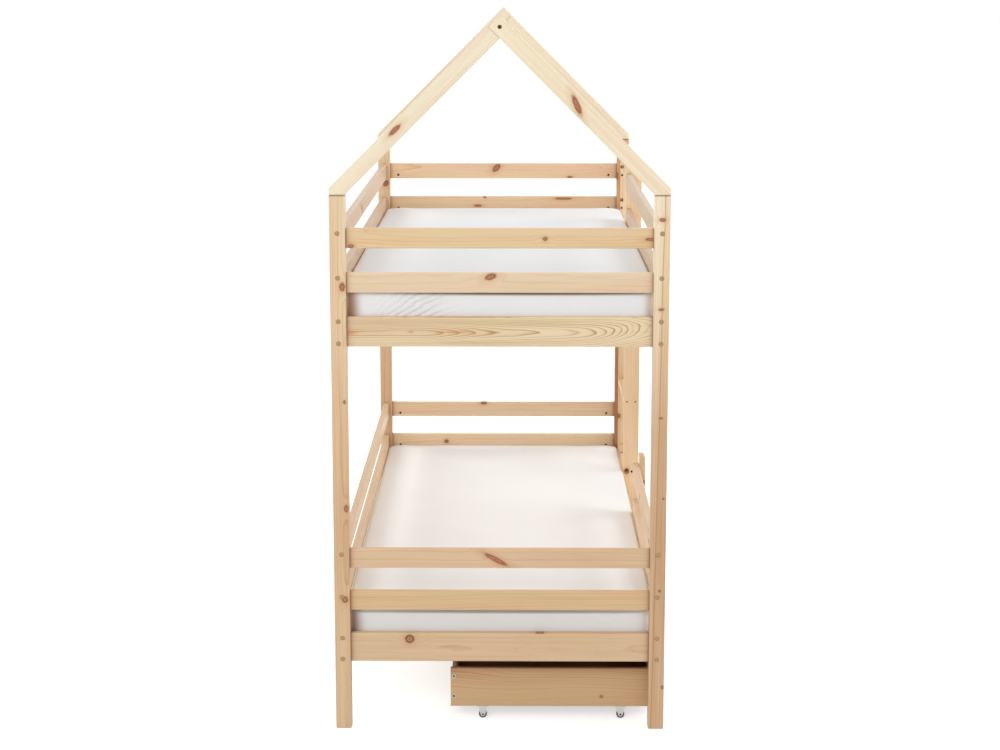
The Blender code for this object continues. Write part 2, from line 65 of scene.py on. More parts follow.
def bed_to_frame(points):
    """Points in bed coordinates moved into the frame: each minus the fixed step."""
    return np.asarray(points, float) - MIDDLE


def box_of(node):
    """Lowest and highest corner of a node of the frame, in bed coordinates."""
    low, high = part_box(node)
    return np.array(low) + MIDDLE, np.array(high) + MIDDLE


print("front left post:", *np.round(box_of("post_front_left"), 4))

# %% [markdown]
# The picture was taken with a long lens from a little over head height, between five and six metres
# in front of the bed, and with the lens shifted so that the posts stay upright. A large shift would
# push the bed out of the frame as soon as the camera goes round it. So the camera looks down a
# little, and the shift is small.

# %% Camera
CAMERA_PLACE = (0.0389, -5.4877, 2.1997)
CAMERA_DOWN = math.radians(9.444)
CAMERA_LEFT = 0.0069
FOCAL_LENGTH_MM = 69.39
SENSOR_WIDTH_MM = 36
FRAME_SHIFT = -0.07
SEES_AS_FAR_AS = 400

camera = bpy.data.objects.new("camera", bpy.data.cameras.new("camera"))
scene.collection.objects.link(camera)
camera.data.lens = FOCAL_LENGTH_MM
camera.data.sensor_width = SENSOR_WIDTH_MM
camera.data.shift_y = FRAME_SHIFT
camera.data.clip_end = SEES_AS_FAR_AS
camera.location = bed_to_frame(CAMERA_PLACE)
camera.rotation_euler = (math.pi / 2 - CAMERA_DOWN, 0, CAMERA_LEFT)
scene.camera = camera
scene.view_settings.view_transform = "Standard"
print("camera", round(Vector(camera.location).length, 2), "m from the origin")

# %% [markdown]
# Materials are graphs of small nodes. Written out one by one they fill pages, so a few helpers keep
# them short: one adds any node and fills its inputs, and the others add a sum, a mix of colours, a
# ramp or noise with it. Colours are read off a screen as 0 to 255, and a shader wants them linear,
# so one more helper turns one into the other.

# %% Helpers for materials
def linear(red, green, blue):
    """A screen colour as linear light: (c / 255) to the power 2.2, with the exact foot of sRGB."""
    c = np.array([red, green, blue], float) / 255
    return (*np.where(c < 0.04045, c / 12.92, ((c + 0.055) / 1.055) ** 2.4), 1.0)


def add(tree, kind, inputs=None, **settings):
    """A node of this kind, with its settings made and its inputs set or linked."""
    made = tree.nodes.new(kind)
    for name, value in settings.items():
        setattr(made, name, value)
    for key, value in (inputs or {}).items():
        if isinstance(value, bpy.types.NodeSocket):
            tree.links.new(value, made.inputs[key])
        else:
            made.inputs[key].default_value = value
    return made


def calc(tree, operation, *values, clamp=False):
    """One step of arithmetic on numbers."""
    made = add(tree, "ShaderNodeMath", dict(enumerate(values)), operation=operation, use_clamp=clamp)
    return made.outputs[0]


def decay(tree, value, rate=1.0):
    """e to the power of minus rate times the value."""
    return calc(tree, "POWER", 2.718, calc(tree, "MULTIPLY", value, -rate))


def around(tree, value, spread, middle, zero=0.5, clamp=False):
    """Middle + spread * (value - zero), which turns noise into a change to both sides of a middle."""
    return calc(tree, "MULTIPLY_ADD", calc(tree, "SUBTRACT", value, zero), spread, middle, clamp=clamp)


def vector(tree, operation, *values):
    """One step of arithmetic on vectors. The second input of SCALE is a number of its own name."""
    keys = ("Vector", "Scale") if operation == "SCALE" else range(len(values))
    made = add(tree, "ShaderNodeVectorMath", dict(zip(keys, values)), operation=operation)
    return made.outputs["Value" if operation in ("LENGTH", "DOT_PRODUCT") else "Vector"]


def blend(tree, share, first, second):
    """Two colours mixed by a share from 0 to 1."""
    made = add(tree, "ShaderNodeMix", data_type="RGBA")
    for key, value in ((0, share), (6, first), (7, second)):
        if isinstance(value, bpy.types.NodeSocket):
            tree.links.new(value, made.inputs[key])
        else:
            made.inputs[key].default_value = value
    return made.outputs[2]


def ramp(tree, value, stops):
    """A colour or grey that runs through the stops as value goes from 0 to 1."""
    made = add(tree, "ShaderNodeValToRGB", {0: value})
    line = made.color_ramp
    while len(line.elements) < len(stops):
        line.elements.new(0.5)
    for element, (place, colour) in zip(line.elements, stops):
        element.position = place
        element.color = colour if isinstance(colour, tuple) else (colour, colour, colour, 1)
    return made.outputs[0]


def noise(tree, place, scale, detail=2.0, roughness=0.55):
    """Soft noise from about 0.3 to 0.7, as a number and as three numbers."""
    inputs = {"Vector": place, "Scale": scale, "Detail": detail, "Roughness": roughness}
    made = add(tree, "ShaderNodeTexNoise", inputs)
    return made.outputs[0], made.outputs[1]


def drawn_noise(tree, place, stretch, detail=2.0, roughness=0.55):
    """Noise whose patches are drawn out: the larger the number for an axis, the shorter they are."""
    return noise(tree, vector(tree, "MULTIPLY", place, stretch), 1.0, detail, roughness)


def new_material(name, **plain):
    """A material with one Principled shader, whose plain inputs are set on the shader itself."""
    material = bpy.data.materials.new(name)
    material.use_nodes = True
    tree = material.node_tree
    shader = tree.nodes["Principled BSDF"]
    for key, value in plain.items():
        shader.inputs[key.replace("_", " ")].default_value = value
    return material, tree, shader


print("screen grey 128 is linear", round(linear(128, 128, 128)[0], 3))

# %% [markdown]
# The room is as plain as a photographer's: a pale floor without an end, white all round, one large
# soft lamp high and far in front, so that the rear of the bed gets nearly as much of it as the
# front, a faint low one under it, a weaker one at each side that reaches in over the lower
# mattress, and one behind. A colour then renders about as it is written. The floor adds a little
# white of its own where the camera looks straight at it, so it melts into the background and still
# keeps the bed's shadow.

# %% Floor, background and lamps
COOL_WHITE = (0.95, 0.975, 1.0, 1)
ROOM_LIGHT = 0.62
FLOOR_GREY = (0.80, 0.80, 0.80, 1)
FLOOR_OWN_WHITE = 0.60
FLOOR_REACH = 90.0
LAMPS = [("key", (-2.0, -7.6, 4.9), (0, 0, 1.1), (5.0, 3.4), 196),
         ("right fill", (4.2, 0.6, 2.3), (0, 0.4, 0.5), (4.2, 2.6), 118),
         ("low front", (0.3, -5.6, 0.30), (0.1, 0, 0.18), (2.6, 0.5), 7),
         ("left fill", (-4.2, 2.6, 2.5), (0, 0.6, 0.5), (2.4, 1.8), 125),
         ("back", (0.6, 5.6, 4.4), (0, 0, 1.2), (3.0, 2.0), 40)]


def white_to_the_eye(tree):
    """1 for rays from the camera, from gloss and through glass, and 0 for light on the bed."""
    path = add(tree, "ShaderNodeLightPath")
    seen = calc(tree, "MAXIMUM", path.outputs["Is Camera Ray"], path.outputs["Is Glossy Ray"])
    return calc(tree, "MAXIMUM", seen, path.outputs["Is Transmission Ray"])


world = bpy.data.worlds.new("white room")
scene.world = world
world.use_nodes = True
room = world.node_tree
room.nodes.clear()
light_of_room = add(room, "ShaderNodeBackground", {"Color": COOL_WHITE, "Strength": ROOM_LIGHT})
seen_of_room = add(room, "ShaderNodeBackground", {"Color": (1, 1, 1, 1), "Strength": 1.0})
room_mix = add(room, "ShaderNodeMixShader", {0: white_to_the_eye(room), 1: light_of_room.outputs[0],
                                             2: seen_of_room.outputs[0]})
add(room, "ShaderNodeOutputWorld", {"Surface": room_mix.outputs[0]})

floor_paint = bpy.data.materials.new("floor")
floor_paint.use_nodes = True
ground = floor_paint.node_tree
ground.nodes.clear()
matt = add(ground, "ShaderNodeBsdfDiffuse", {"Color": FLOOR_GREY})
seen_white = calc(ground, "MULTIPLY", white_to_the_eye(ground), FLOOR_OWN_WHITE)
own_white = add(ground, "ShaderNodeEmission", {"Color": (1, 1, 1, 1), "Strength": seen_white})
both = add(ground, "ShaderNodeAddShader", {0: matt.outputs[0], 1: own_white.outputs[0]})
add(ground, "ShaderNodeOutputMaterial", {"Surface": both.outputs[0]})

floor_mesh = bpy.data.meshes.new("floor")
corners = np.array([(-1, -1, 0), (1, -1, 0), (1, 1, 0), (-1, 1, 0)], float) * FLOOR_REACH
floor_mesh.from_pydata(corners.tolist(), [], [(0, 1, 2, 3)])
floor_mesh.materials.append(floor_paint)
floor = bpy.data.objects.new("floor", floor_mesh)
scene.collection.objects.link(floor)


def softbox(name, place, target, size, watts):
    """A flat lamp that faces its target."""
    lamp = bpy.data.lights.new(name, "AREA")
    lamp.shape = "RECTANGLE"
    lamp.size, lamp.size_y = size
    lamp.energy = watts
    obj = bpy.data.objects.new(name, lamp)
    scene.collection.objects.link(obj)
    obj.location = place
    obj.rotation_euler = (Vector(target) - Vector(place)).to_track_quat("-Z", "Y").to_euler()
    return obj


for lamp in LAMPS:
    softbox(*lamp)

# %% [markdown]
# Pine shows what the tree did: each year lays a pale soft ring and a thin hard brown one round the
# pith, and a board is a flat cut through those rings. An image of wood stretched over a box looks
# wrong on its edges and ends. So the rings are worked out in space, as a distance from a pith line
# that runs along the board and wanders a little. The faces, edges and ends of a board then agree,
# and where the cut meets the rings at a shallow angle the pointed flames of a flat-sawn board
# appear by themselves.

# %% Growth rings
def new_group(name, inputs, outputs):
    """An empty node group with these inputs and outputs, each a name and a kind of socket."""
    tree = bpy.data.node_groups.new(name, "ShaderNodeTree")
    for label, kind in inputs:
        tree.interface.new_socket(label, in_out="INPUT", socket_type="NodeSocket" + kind)
    for label, kind in outputs:
        tree.interface.new_socket(label, in_out="OUTPUT", socket_type="NodeSocket" + kind)
    return tree, tree.nodes.new("NodeGroupInput").outputs, tree.nodes.new("NodeGroupOutput").inputs


RIPPLE = 0.0034
UNEVEN_YEARS = 2.6
ONE_YEAR = [(0.0, 0.12), (0.08, 0.0), (0.58, 0.08), (0.80, 0.38), (0.93, 1.0), (1.0, 0.12)]
STRAW_TO_PINK = [(0.36, (0.975, 1.0, 0.955, 1)), (0.50, (1.0, 1.0, 1.0, 1)),
                 (0.64, (1.0, 0.965, 0.975, 1))]


def make_growth():
    """Ring phase = (distance from the wandering pith + push of the knots) / ring width, plus slow noise.
    Each ring stays pale, darkens only near its end and drops back sharply, and every ring has its own
    strength, from 0.35 to 1.25. Fibres and broad streaks are noise that is stretched along the grain,
    and a slower noise drifts the hue a little towards pink or straw."""
    inputs = [("Place", "Vector"), ("Shift", "Vector"), ("Pith", "Vector"), ("Slope", "Vector"),
              ("Wander", "Float"), ("Ring", "Float"), ("Push", "Float"), ("Contrast", "Float"),
              ("Pale", "Color"), ("Late", "Color")]
    outputs = [("Colour", "Color"), ("Height", "Float"), ("Roughness", "Float")]
    tree, take, give = new_group("pine growth", inputs, outputs)
    place = take["Place"]
    shifted = vector(tree, "ADD", place, take["Shift"])
    along = add(tree, "ShaderNodeSeparateXYZ", {0: place}).outputs[0]

    leaning = vector(tree, "SCALE", take["Slope"], along)
    from_pith = vector(tree, "SUBTRACT", vector(tree, "SUBTRACT", place, take["Pith"]), leaning)
    for stretch, detail, reach in (((1.5, 3.0, 3.0), 1.6, take["Wander"]), ((9.0, 30.0, 30.0), 2.0, RIPPLE)):
        sway = vector(tree, "SUBTRACT", drawn_noise(tree, shifted, stretch, detail)[1], (0.5, 0.5, 0.5))
        from_pith = vector(tree, "ADD", from_pith, vector(tree, "SCALE", sway, reach))
    distance = vector(tree, "LENGTH", vector(tree, "MULTIPLY", from_pith, (0, 1, 1)))
    distance = calc(tree, "ADD", distance, take["Push"])

    uneven = noise(tree, add(tree, "ShaderNodeCombineXYZ", {0: distance, 1: 0.37}).outputs[0], 55.0, 1.0)[0]
    phase = calc(tree, "ADD", calc(tree, "DIVIDE", distance, take["Ring"]),
                 calc(tree, "MULTIPLY", uneven, UNEVEN_YEARS))
    year = calc(tree, "FRACT", phase)
    strength = add(tree, "ShaderNodeTexWhiteNoise", {"W": calc(tree, "FLOOR", phase)},
                   noise_dimensions="1D").outputs["Value"]
    late = calc(tree, "MULTIPLY", ramp(tree, year, ONE_YEAR), calc(tree, "MULTIPLY_ADD", strength, 0.9, 0.35))

    fibre = drawn_noise(tree, shifted, (14.0, 520.0, 520.0), 2.0, 0.6)[0]
    streak = drawn_noise(tree, shifted, (2.4, 85.0, 85.0), 3.0, 0.6)[0]
    cloud = drawn_noise(tree, shifted, (1.3, 9.0, 9.0), 1.5)[0]
    share = around(tree, streak, 0.75, calc(tree, "MULTIPLY", late, take["Contrast"]))
    share = around(tree, cloud, 0.9, share, zero=0.46, clamp=True)
    colour = blend(tree, share, take["Pale"], take["Late"])
    colour = vector(tree, "SCALE", colour, around(tree, fibre, 0.16, 1.0))
    drift = drawn_noise(tree, shifted, (1.7, 24.0, 24.0))[0]
    colour = vector(tree, "MULTIPLY", colour, ramp(tree, drift, STRAW_TO_PINK))
    tree.links.new(colour, give["Colour"])
    height = calc(tree, "MULTIPLY_ADD", late, -0.35, calc(tree, "MULTIPLY", fibre, 0.7))
    tree.links.new(height, give["Height"])
    tree.links.new(calc(tree, "MULTIPLY_ADD", fibre, 0.22, 0.33), give["Roughness"])
    return tree


growth = make_growth()
print("growth group of", len(growth.nodes), "nodes")

# %% [markdown]
# A knot is the foot of a branch. It is a rod of red-brown wood that crosses the board, often with a
# thin dark bark line round it, and the rings flow round it as water flows round a stone. One more
# group makes it from a place that is already scaled so that the knot's rim lies at distance 1.
# What it gives back as push goes into the distance from the pith, and bends the rings.

# %% Knots
BROWN_KNOT = [(0.0, linear(120, 72, 44)), (0.20, linear(176, 120, 82)), (0.5, linear(186, 130, 90)),
              (0.78, linear(132, 78, 50)), (1.0, linear(150, 100, 64))]
RED_KNOT = [(0.0, linear(150, 80, 56)), (0.30, linear(190, 122, 88)), (0.62, linear(168, 96, 66)),
            (0.86, linear(150, 84, 58)), (1.0, linear(200, 150, 108))]


def make_knot():
    """Cover falls from 1 to 0 across the rim at distance 1, push is exp(-distance squared / 2) over
    an area that is drawn out along the grain, and the colour runs from the core to the bark line."""
    inputs = [("Scaled", "Vector"), ("Place", "Vector"), ("Bark", "Float"), ("Red", "Float")]
    outputs = [("Push", "Float"), ("Cover", "Float"), ("Glow", "Float"), ("Colour", "Color")]
    tree, take, give = new_group("pine knot", inputs, outputs)
    scaled = take["Scaled"]
    drawn_out = vector(tree, "LENGTH", vector(tree, "MULTIPLY", scaled, (0.40, 0.80, 0)))
    push = decay(tree, calc(tree, "MULTIPLY", drawn_out, drawn_out), 0.5)
    tree.links.new(push, give["Push"])
    rough = noise(tree, take["Place"], 190.0, 2.0)[0]
    distance = around(tree, rough, 0.55, vector(tree, "LENGTH", vector(tree, "MULTIPLY", scaled, (1, 1, 0))))
    cover = ramp(tree, calc(tree, "MULTIPLY", distance, 0.5), [(0.38, 1.0), (0.62, 0.0)])
    tree.links.new(cover, give["Cover"])
    glow = ramp(tree, calc(tree, "MULTIPLY", distance, 0.25), [(0.20, 0.75), (0.34, 0.30), (0.70, 0.0)])
    tree.links.new(glow, give["Glow"])
    rings = calc(tree, "SINE", calc(tree, "MULTIPLY", distance, 26.0))
    colour = blend(tree, take["Red"], ramp(tree, distance, BROWN_KNOT), ramp(tree, distance, RED_KNOT))
    colour = vector(tree, "SCALE", colour, calc(tree, "MULTIPLY_ADD", rings, 0.07, 0.98))
    bark = ramp(tree, distance, [(0.66, 0.0), (0.86, 1.0), (1.0, 1.0)])
    colour = blend(tree, calc(tree, "MULTIPLY", bark, take["Bark"]), colour, linear(66, 38, 24))
    tree.links.new(colour, give["Colour"])
    return tree


knot_group = make_knot()
print("knot group of", len(knot_group.nodes), "nodes")

# %% [markdown]
# No two boards of a bed are cut from the same place. Each gets its own material: which way its
# grain runs, where its pith lies, how wide its rings are, its tone, and its knots. Across a board
# the pattern is turned into board coordinates, with x along the grain, y across the wide face and
# z through the thickness. Where the photograph shows a board, its knots are placed as they are
# there. The others get a few of their own from a fixed seed.

# %% One pine for one board
def grain_frame(node):
    """Centre and the three directions of a board: its longest side is the grain, its shortest is
    the thickness. A rafter climbs at 45 degrees, so its directions are turned by that."""
    low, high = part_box(node)
    centre, size = (low + high) / 2, high - low
    if node.startswith("rafter"):
        way = 1 if node.endswith("left") else -1
        along = Vector((way, 0, 1)).normalized()
        return centre, size.length, along, Vector((0, 1, 0)).cross(along), Vector((0, 1, 0))
    if node.endswith("slat_base"):
        return centre, size.x, Vector((1, 0, 0)), Vector((0, 1, 0)), Vector((0, 0, 1))
    order = sorted(range(3), key=lambda axis: (-round(size[axis], 3), axis))
    along, across = Vector((0, 0, 0)), Vector((0, 0, 0))
    along[order[0]] = across[order[1]] = 1
    return centre, size[order[0]], along, across, along.cross(across)


def size_of(node):
    """Length of a node's box along the three axes."""
    low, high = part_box(node)
    return high - low


RESIN_ORANGE = (208, 142, 78)
JOINT_SHADE = (138, 98, 64)
KNOT_GLOW = np.array((196, 132, 80))
KNOT_PUSH = 0.9
SWAY = 0.006
JOINT_REACH = 1 / 150
JOINT_DEPTH = 0.85
END_GRAIN = [(0.55, 0.0), (0.85, 0.45)]
END_GRAIN_TONE = 0.8


def knots_in(tree, place, shift, board, knots):
    """A knot group for each visible knot, and the sum of what all of them push the rings by. A board
    is given by its centre and its turn."""
    centre, turn = board
    push, found = None, []
    for point, half_along, half_across, angle, bark, red in knots:
        into = {"Vector": place, "Location": turn @ (Vector(bed_to_frame(point)) - centre),
                "Rotation": (0, 0, math.radians(angle)), "Scale": (half_along, half_across, 1)}
        scaled = add(tree, "ShaderNodeMapping", into, vector_type="TEXTURE").outputs[0]
        knot = add(tree, "ShaderNodeGroup", node_tree=knot_group)
        tree.links.new(scaled, knot.inputs["Scaled"])
        tree.links.new(vector(tree, "ADD", place, shift), knot.inputs["Place"])
        knot.inputs["Bark"].default_value = max(bark, 0)
        knot.inputs["Red"].default_value = red
        part = calc(tree, "MULTIPLY", knot.outputs["Push"], half_across * KNOT_PUSH if bark >= 0 else -bark)
        push = part if push is None else calc(tree, "ADD", push, part)
        if bark >= 0:
            found.append(knot)
    return push, found


def toned(tree, colour, where, tones):
    """The colour times the tone at this place from 0 to 1. A tone of one number is a grey."""
    stops = [(at, (*tone, 1) if isinstance(tone, tuple) else tone) for at, tone in tones]
    return vector(tree, "MULTIPLY", colour, ramp(tree, where, stops))


def pine(name, node, pale, late, ring=0.0045, pith=(0.01, -0.07), slope=(0.0, 0.012), wander=0.03,
         contrast=0.6, knots=(), seed=0, rough=0.0, joined=None, strips=(), lean=0.0, fade=(), resin=(),
         butted=False):
    """The material of one board. Each knot is a point in bed coordinates, its half length along and
    half width across the grain, its turn in degrees, and its share of bark and of red. A negative bark
    is a buried knot: it only pushes the rings, by that many metres. Strips and fade are tones across
    and along the board, each a place from 0 to 1 and a share of red, green and blue, and lean is how
    far the strips drift across for each metre along. A streak of resin is a point, its half length
    and half width, and its share of orange. A butted board gets painted shade at its ends, by a share
    of 0.85 * exp(-distance from the end / reach), for the shade where it meets a post."""
    centre, length, along, across, through = grain_frame(node)
    turn = Matrix((along, across, through))
    material, tree, shader = new_material(name, Specular_IOR_Level=0.42)
    seen = add(tree, "ShaderNodeTexCoord")
    into = {"Vector": seen.outputs["Object"], "Location": -(turn @ centre), "Rotation": turn.to_euler()}
    place = add(tree, "ShaderNodeMapping", into, vector_type="POINT").outputs[0]
    if joined:
        place = stepped(tree, place, *joined)
    rng = np.random.default_rng(seed)
    shift = tuple(float(v) for v in rng.uniform(-9, 9, 3))

    push, found = knots_in(tree, place, shift, (centre, turn), knots)
    rings = add(tree, "ShaderNodeGroup", node_tree=growth)
    values = {"Shift": shift, "Pith": (0, *pith), "Slope": (0, *slope), "Wander": wander, "Ring": ring,
              "Push": 0.0, "Contrast": contrast, "Pale": linear(*pale), "Late": linear(*late)}
    for key, value in values.items():
        rings.inputs[key].default_value = value
    tree.links.new(place, rings.inputs["Place"])
    if push is not None:
        tree.links.new(push, rings.inputs["Push"])
    colour = rings.outputs["Colour"]
    x, y, _ = add(tree, "ShaderNodeSeparateXYZ", {0: place}).outputs
    if strips:
        width = size_of(node) @ Vector([abs(v) for v in across])
        sway = drawn_noise(tree, place, (3.0, 0, 0), 1.0)[0]
        where = calc(tree, "MULTIPLY_ADD", x, lean, calc(tree, "MULTIPLY_ADD", sway, SWAY, y))
        where = calc(tree, "MULTIPLY_ADD", where, 1 / width, 0.5 - 0.5 * SWAY / width)
        colour = toned(tree, colour, where, strips)
    if fade:
        colour = toned(tree, colour, calc(tree, "MULTIPLY_ADD", x, 1 / length, 0.5), fade)
    for point, half_along, half_across, share in resin:
        local = turn @ (Vector(bed_to_frame(point)) - centre)
        offset = vector(tree, "SUBTRACT", place, local)
        offset = vector(tree, "MULTIPLY", offset, (1 / half_along, 1 / half_across, 0))
        bell = decay(tree, vector(tree, "DOT_PRODUCT", offset, offset))
        colour = blend(tree, calc(tree, "MULTIPLY", bell, share), colour, linear(*RESIN_ORANGE))
    # painted shade at the ends of a board that butts against a post
    if butted:
        to_end = calc(tree, "SUBTRACT", length / 2, calc(tree, "ABSOLUTE", x))
        near = calc(tree, "MULTIPLY", decay(tree, to_end, 1 / JOINT_REACH), JOINT_DEPTH, clamp=True)
        colour = blend(tree, near, colour, linear(*JOINT_SHADE))
    glow = linear(*(0.55 * np.array(late) + 0.45 * KNOT_GLOW))
    for knot in found:
        colour = blend(tree, knot.outputs["Glow"], colour, glow)
        colour = blend(tree, knot.outputs["Cover"], colour, knot.outputs["Colour"])
    facing = vector(tree, "DOT_PRODUCT", seen.outputs["Normal"], tuple(along))
    cut = ramp(tree, calc(tree, "ABSOLUTE", facing), END_GRAIN)
    colour = blend(tree, cut, colour, linear(*(END_GRAIN_TONE * np.array(late))))
    tree.links.new(colour, shader.inputs["Base Color"])
    tree.links.new(calc(tree, "ADD", rings.outputs["Roughness"], rough), shader.inputs["Roughness"])
    relief = {"Strength": 0.35, "Distance": 0.0006, "Height": rings.outputs["Height"]}
    bump = add(tree, "ShaderNodeBump", relief)
    tree.links.new(bump.outputs[0], shader.inputs["Normal"])
    return material


def stepped(tree, place, axis, start, pitch):
    """Boards in a row are cut from different logs: the number of the board, from its place along the
    row, moves the pattern by a random step."""
    parts = add(tree, "ShaderNodeSeparateXYZ", {0: place}).outputs
    number = calc(tree, "FLOOR", calc(tree, "DIVIDE", calc(tree, "SUBTRACT", parts[axis], start), pitch))
    step = add(tree, "ShaderNodeTexWhiteNoise", {"W": number}, noise_dimensions="1D").outputs["Color"]
    return vector(tree, "ADD", place, vector(tree, "MULTIPLY", step, (3.0, 0.03, 0.02)))


print("grain of a front rafter runs along", tuple(round(v, 2) for v in grain_frame("rafter_front_left")[2]))

# %% [markdown]
# The upper timber is the palest. The lower rails and the posts are a little warmer and darker, and
# the drawers browner still: partly the wood's own tone, and partly painted shade for the light that
# falls off towards the floor. The boards along the sides, seen from inside the bed, are darker and
# greyer, which is painted shade. The tables below hold what the photograph shows: a pale tone for
# each group of boards, and for some single boards their own. The late wood of a ring has the same
# hue, only deeper. For single boards there is also how they were sawn, where their knots and streaks
# of resin are, and how their tone changes along them (a fade, from the foot up, darker at the foot
# by painted shade) and across them (strips, some of them painted highlights on edges and painted
# shade). The right post has a thin dark line that climbs slantwise from left to right.

# %% Tones and knots read from the photograph
# the side groups, the lower boards, the drawers and post_rear_right are darker partly by painted shade
TONES = {
    "roof": (249, 234, 205),
    "upper": (241, 214, 180),
    "lower": (226, 193, 156),
    "post": (238, 214, 180),
    "upper_side": (211, 183, 155),
    "lower_side": (217, 189, 157),
    "ladder": (247, 214, 175),
    "drawer": (213, 176, 133),
    "slats": (230, 200, 160),
    "upper_front_guard_high": (232, 201, 158),
    "upper_front_rail": (239, 216, 179),
    "lower_front_guard_low": (223, 190, 146),
    "upper_rear_guard_high": (237, 205, 168),
    "upper_rear_guard_low": (234, 203, 166),
    "lower_rear_guard_high": (241, 216, 182),
    "lower_rear_guard_low": (244, 220, 186),
    "post_rear_left": (235, 209, 173),
    "post_front_right": (252, 240, 214),
    "post_rear_right": (219, 180, 142),
    "lower_guard_batten": (234, 200, 162),
    "upper_right_guard_high": (201, 177, 149),
    "upper_right_guard_low": (206, 178, 150),
    "ladder_stile_far": (240, 214, 178),
    "ladder_tread_1": (226, 192, 154),
    "ladder_tread_2": (226, 192, 154),
    "ladder_tread_3": (226, 192, 154),
}
LATE = np.array([0.89, 0.79, 0.66])
LEAN = {"post_front_right": -0.014}
POST_LEAN = 0.012

# along a post from foot to top: darker towards the foot, partly the wood and partly painted shade for the
# light that falls off downwards; the right front post has its own, darker one, and the last stop is a thin
# dark line at the very top
POST_FADE_WITH_SHADE = [(0.0, (0.865, 0.785, 0.71)), (0.40, (0.82, 0.71, 0.62)), (0.62, (0.885, 0.815, 0.745)),
             (0.80, (0.985, 0.95, 0.915)), (0.9982, 1.0), (1.0, (0.38, 0.31, 0.24))]
RIGHT_FADE_WITH_SHADE = [(0.0, (0.73, 0.585, 0.50)), (0.36, (0.66, 0.505, 0.396)), (0.57, (0.683, 0.52, 0.419)),
              (0.68, (0.81, 0.675, 0.59)), (0.86, (0.93, 0.875, 0.805)), (0.9982, 1.0),
              (1.0, (0.38, 0.31, 0.24))]
# lighter long edges round a slightly darker middle: a painted highlight on the rounded edges
PAINTED_EDGE_HIGHLIGHT = [(0.0, 1.0), (0.045, 1.0), (0.085, (0.955, 0.95, 0.94)), (0.915, (0.955, 0.95, 0.94)),
                (0.955, 1.0), (1.0, 1.0)]
STRIPS = {
    "post_front_left": [(0.0, 0.96), (0.10, 1.0), (0.40, (0.985, 0.97, 0.95)), (0.62, (0.985, 0.97, 0.95)),
                        (0.67, (0.95, 0.91, 0.87)), (0.73, (0.985, 0.97, 0.94)),
                        (0.90, (0.97, 0.94, 0.91)), (0.97, (0.99, 0.98, 0.98))],
    "post_front_right": [(0.0, 0.98), (0.12, 1.0), (0.30, (0.985, 0.95, 0.92)), (0.38, (0.94, 0.87, 0.80)),
                         (0.42, (0.60, 0.45, 0.30)), (0.46, (0.91, 0.80, 0.70)),
                         (0.62, (0.92, 0.83, 0.745)), (0.86, (0.93, 0.85, 0.78)), (1.0, (0.90, 0.84, 0.81))],
    # the rear right post is darker on its inner side: painted shade
    "post_rear_right": [(0.0, (0.90, 0.85, 0.81)), (0.28, (0.97, 0.95, 0.93)), (1.0, 1.0)],
    # the lower front rail is brighter along its lowest and highest edges: a painted highlight
    "lower_front_rail": [(0.0, 1.0), (0.03, 1.0), (0.05, (0.965, 0.96, 0.95)), (0.90, (0.975, 0.97, 0.96)),
                         (0.97, 1.0)],
    "upper_front_guard_low": PAINTED_EDGE_HIGHLIGHT,
    "lower_front_guard_low": PAINTED_EDGE_HIGHLIGHT,
    "lower_front_guard_high": PAINTED_EDGE_HIGHLIGHT,
    "upper_front_rail": PAINTED_EDGE_HIGHLIGHT,
    "front_drawer_side_near": [(0.0, (0.98, 0.96, 0.94)), (0.30, 1.0), (0.70, (0.985, 0.98, 0.97)),
                               (0.90, (0.93, 0.90, 0.87)), (0.97, (0.84, 0.76, 0.71))],
    "upper_front_guard_high": [(0.0, (0.93, 0.90, 0.88)), (0.05, 1.0), (0.35, (1.0, 0.975, 0.93)),
                               (0.60, 1.0)],
}

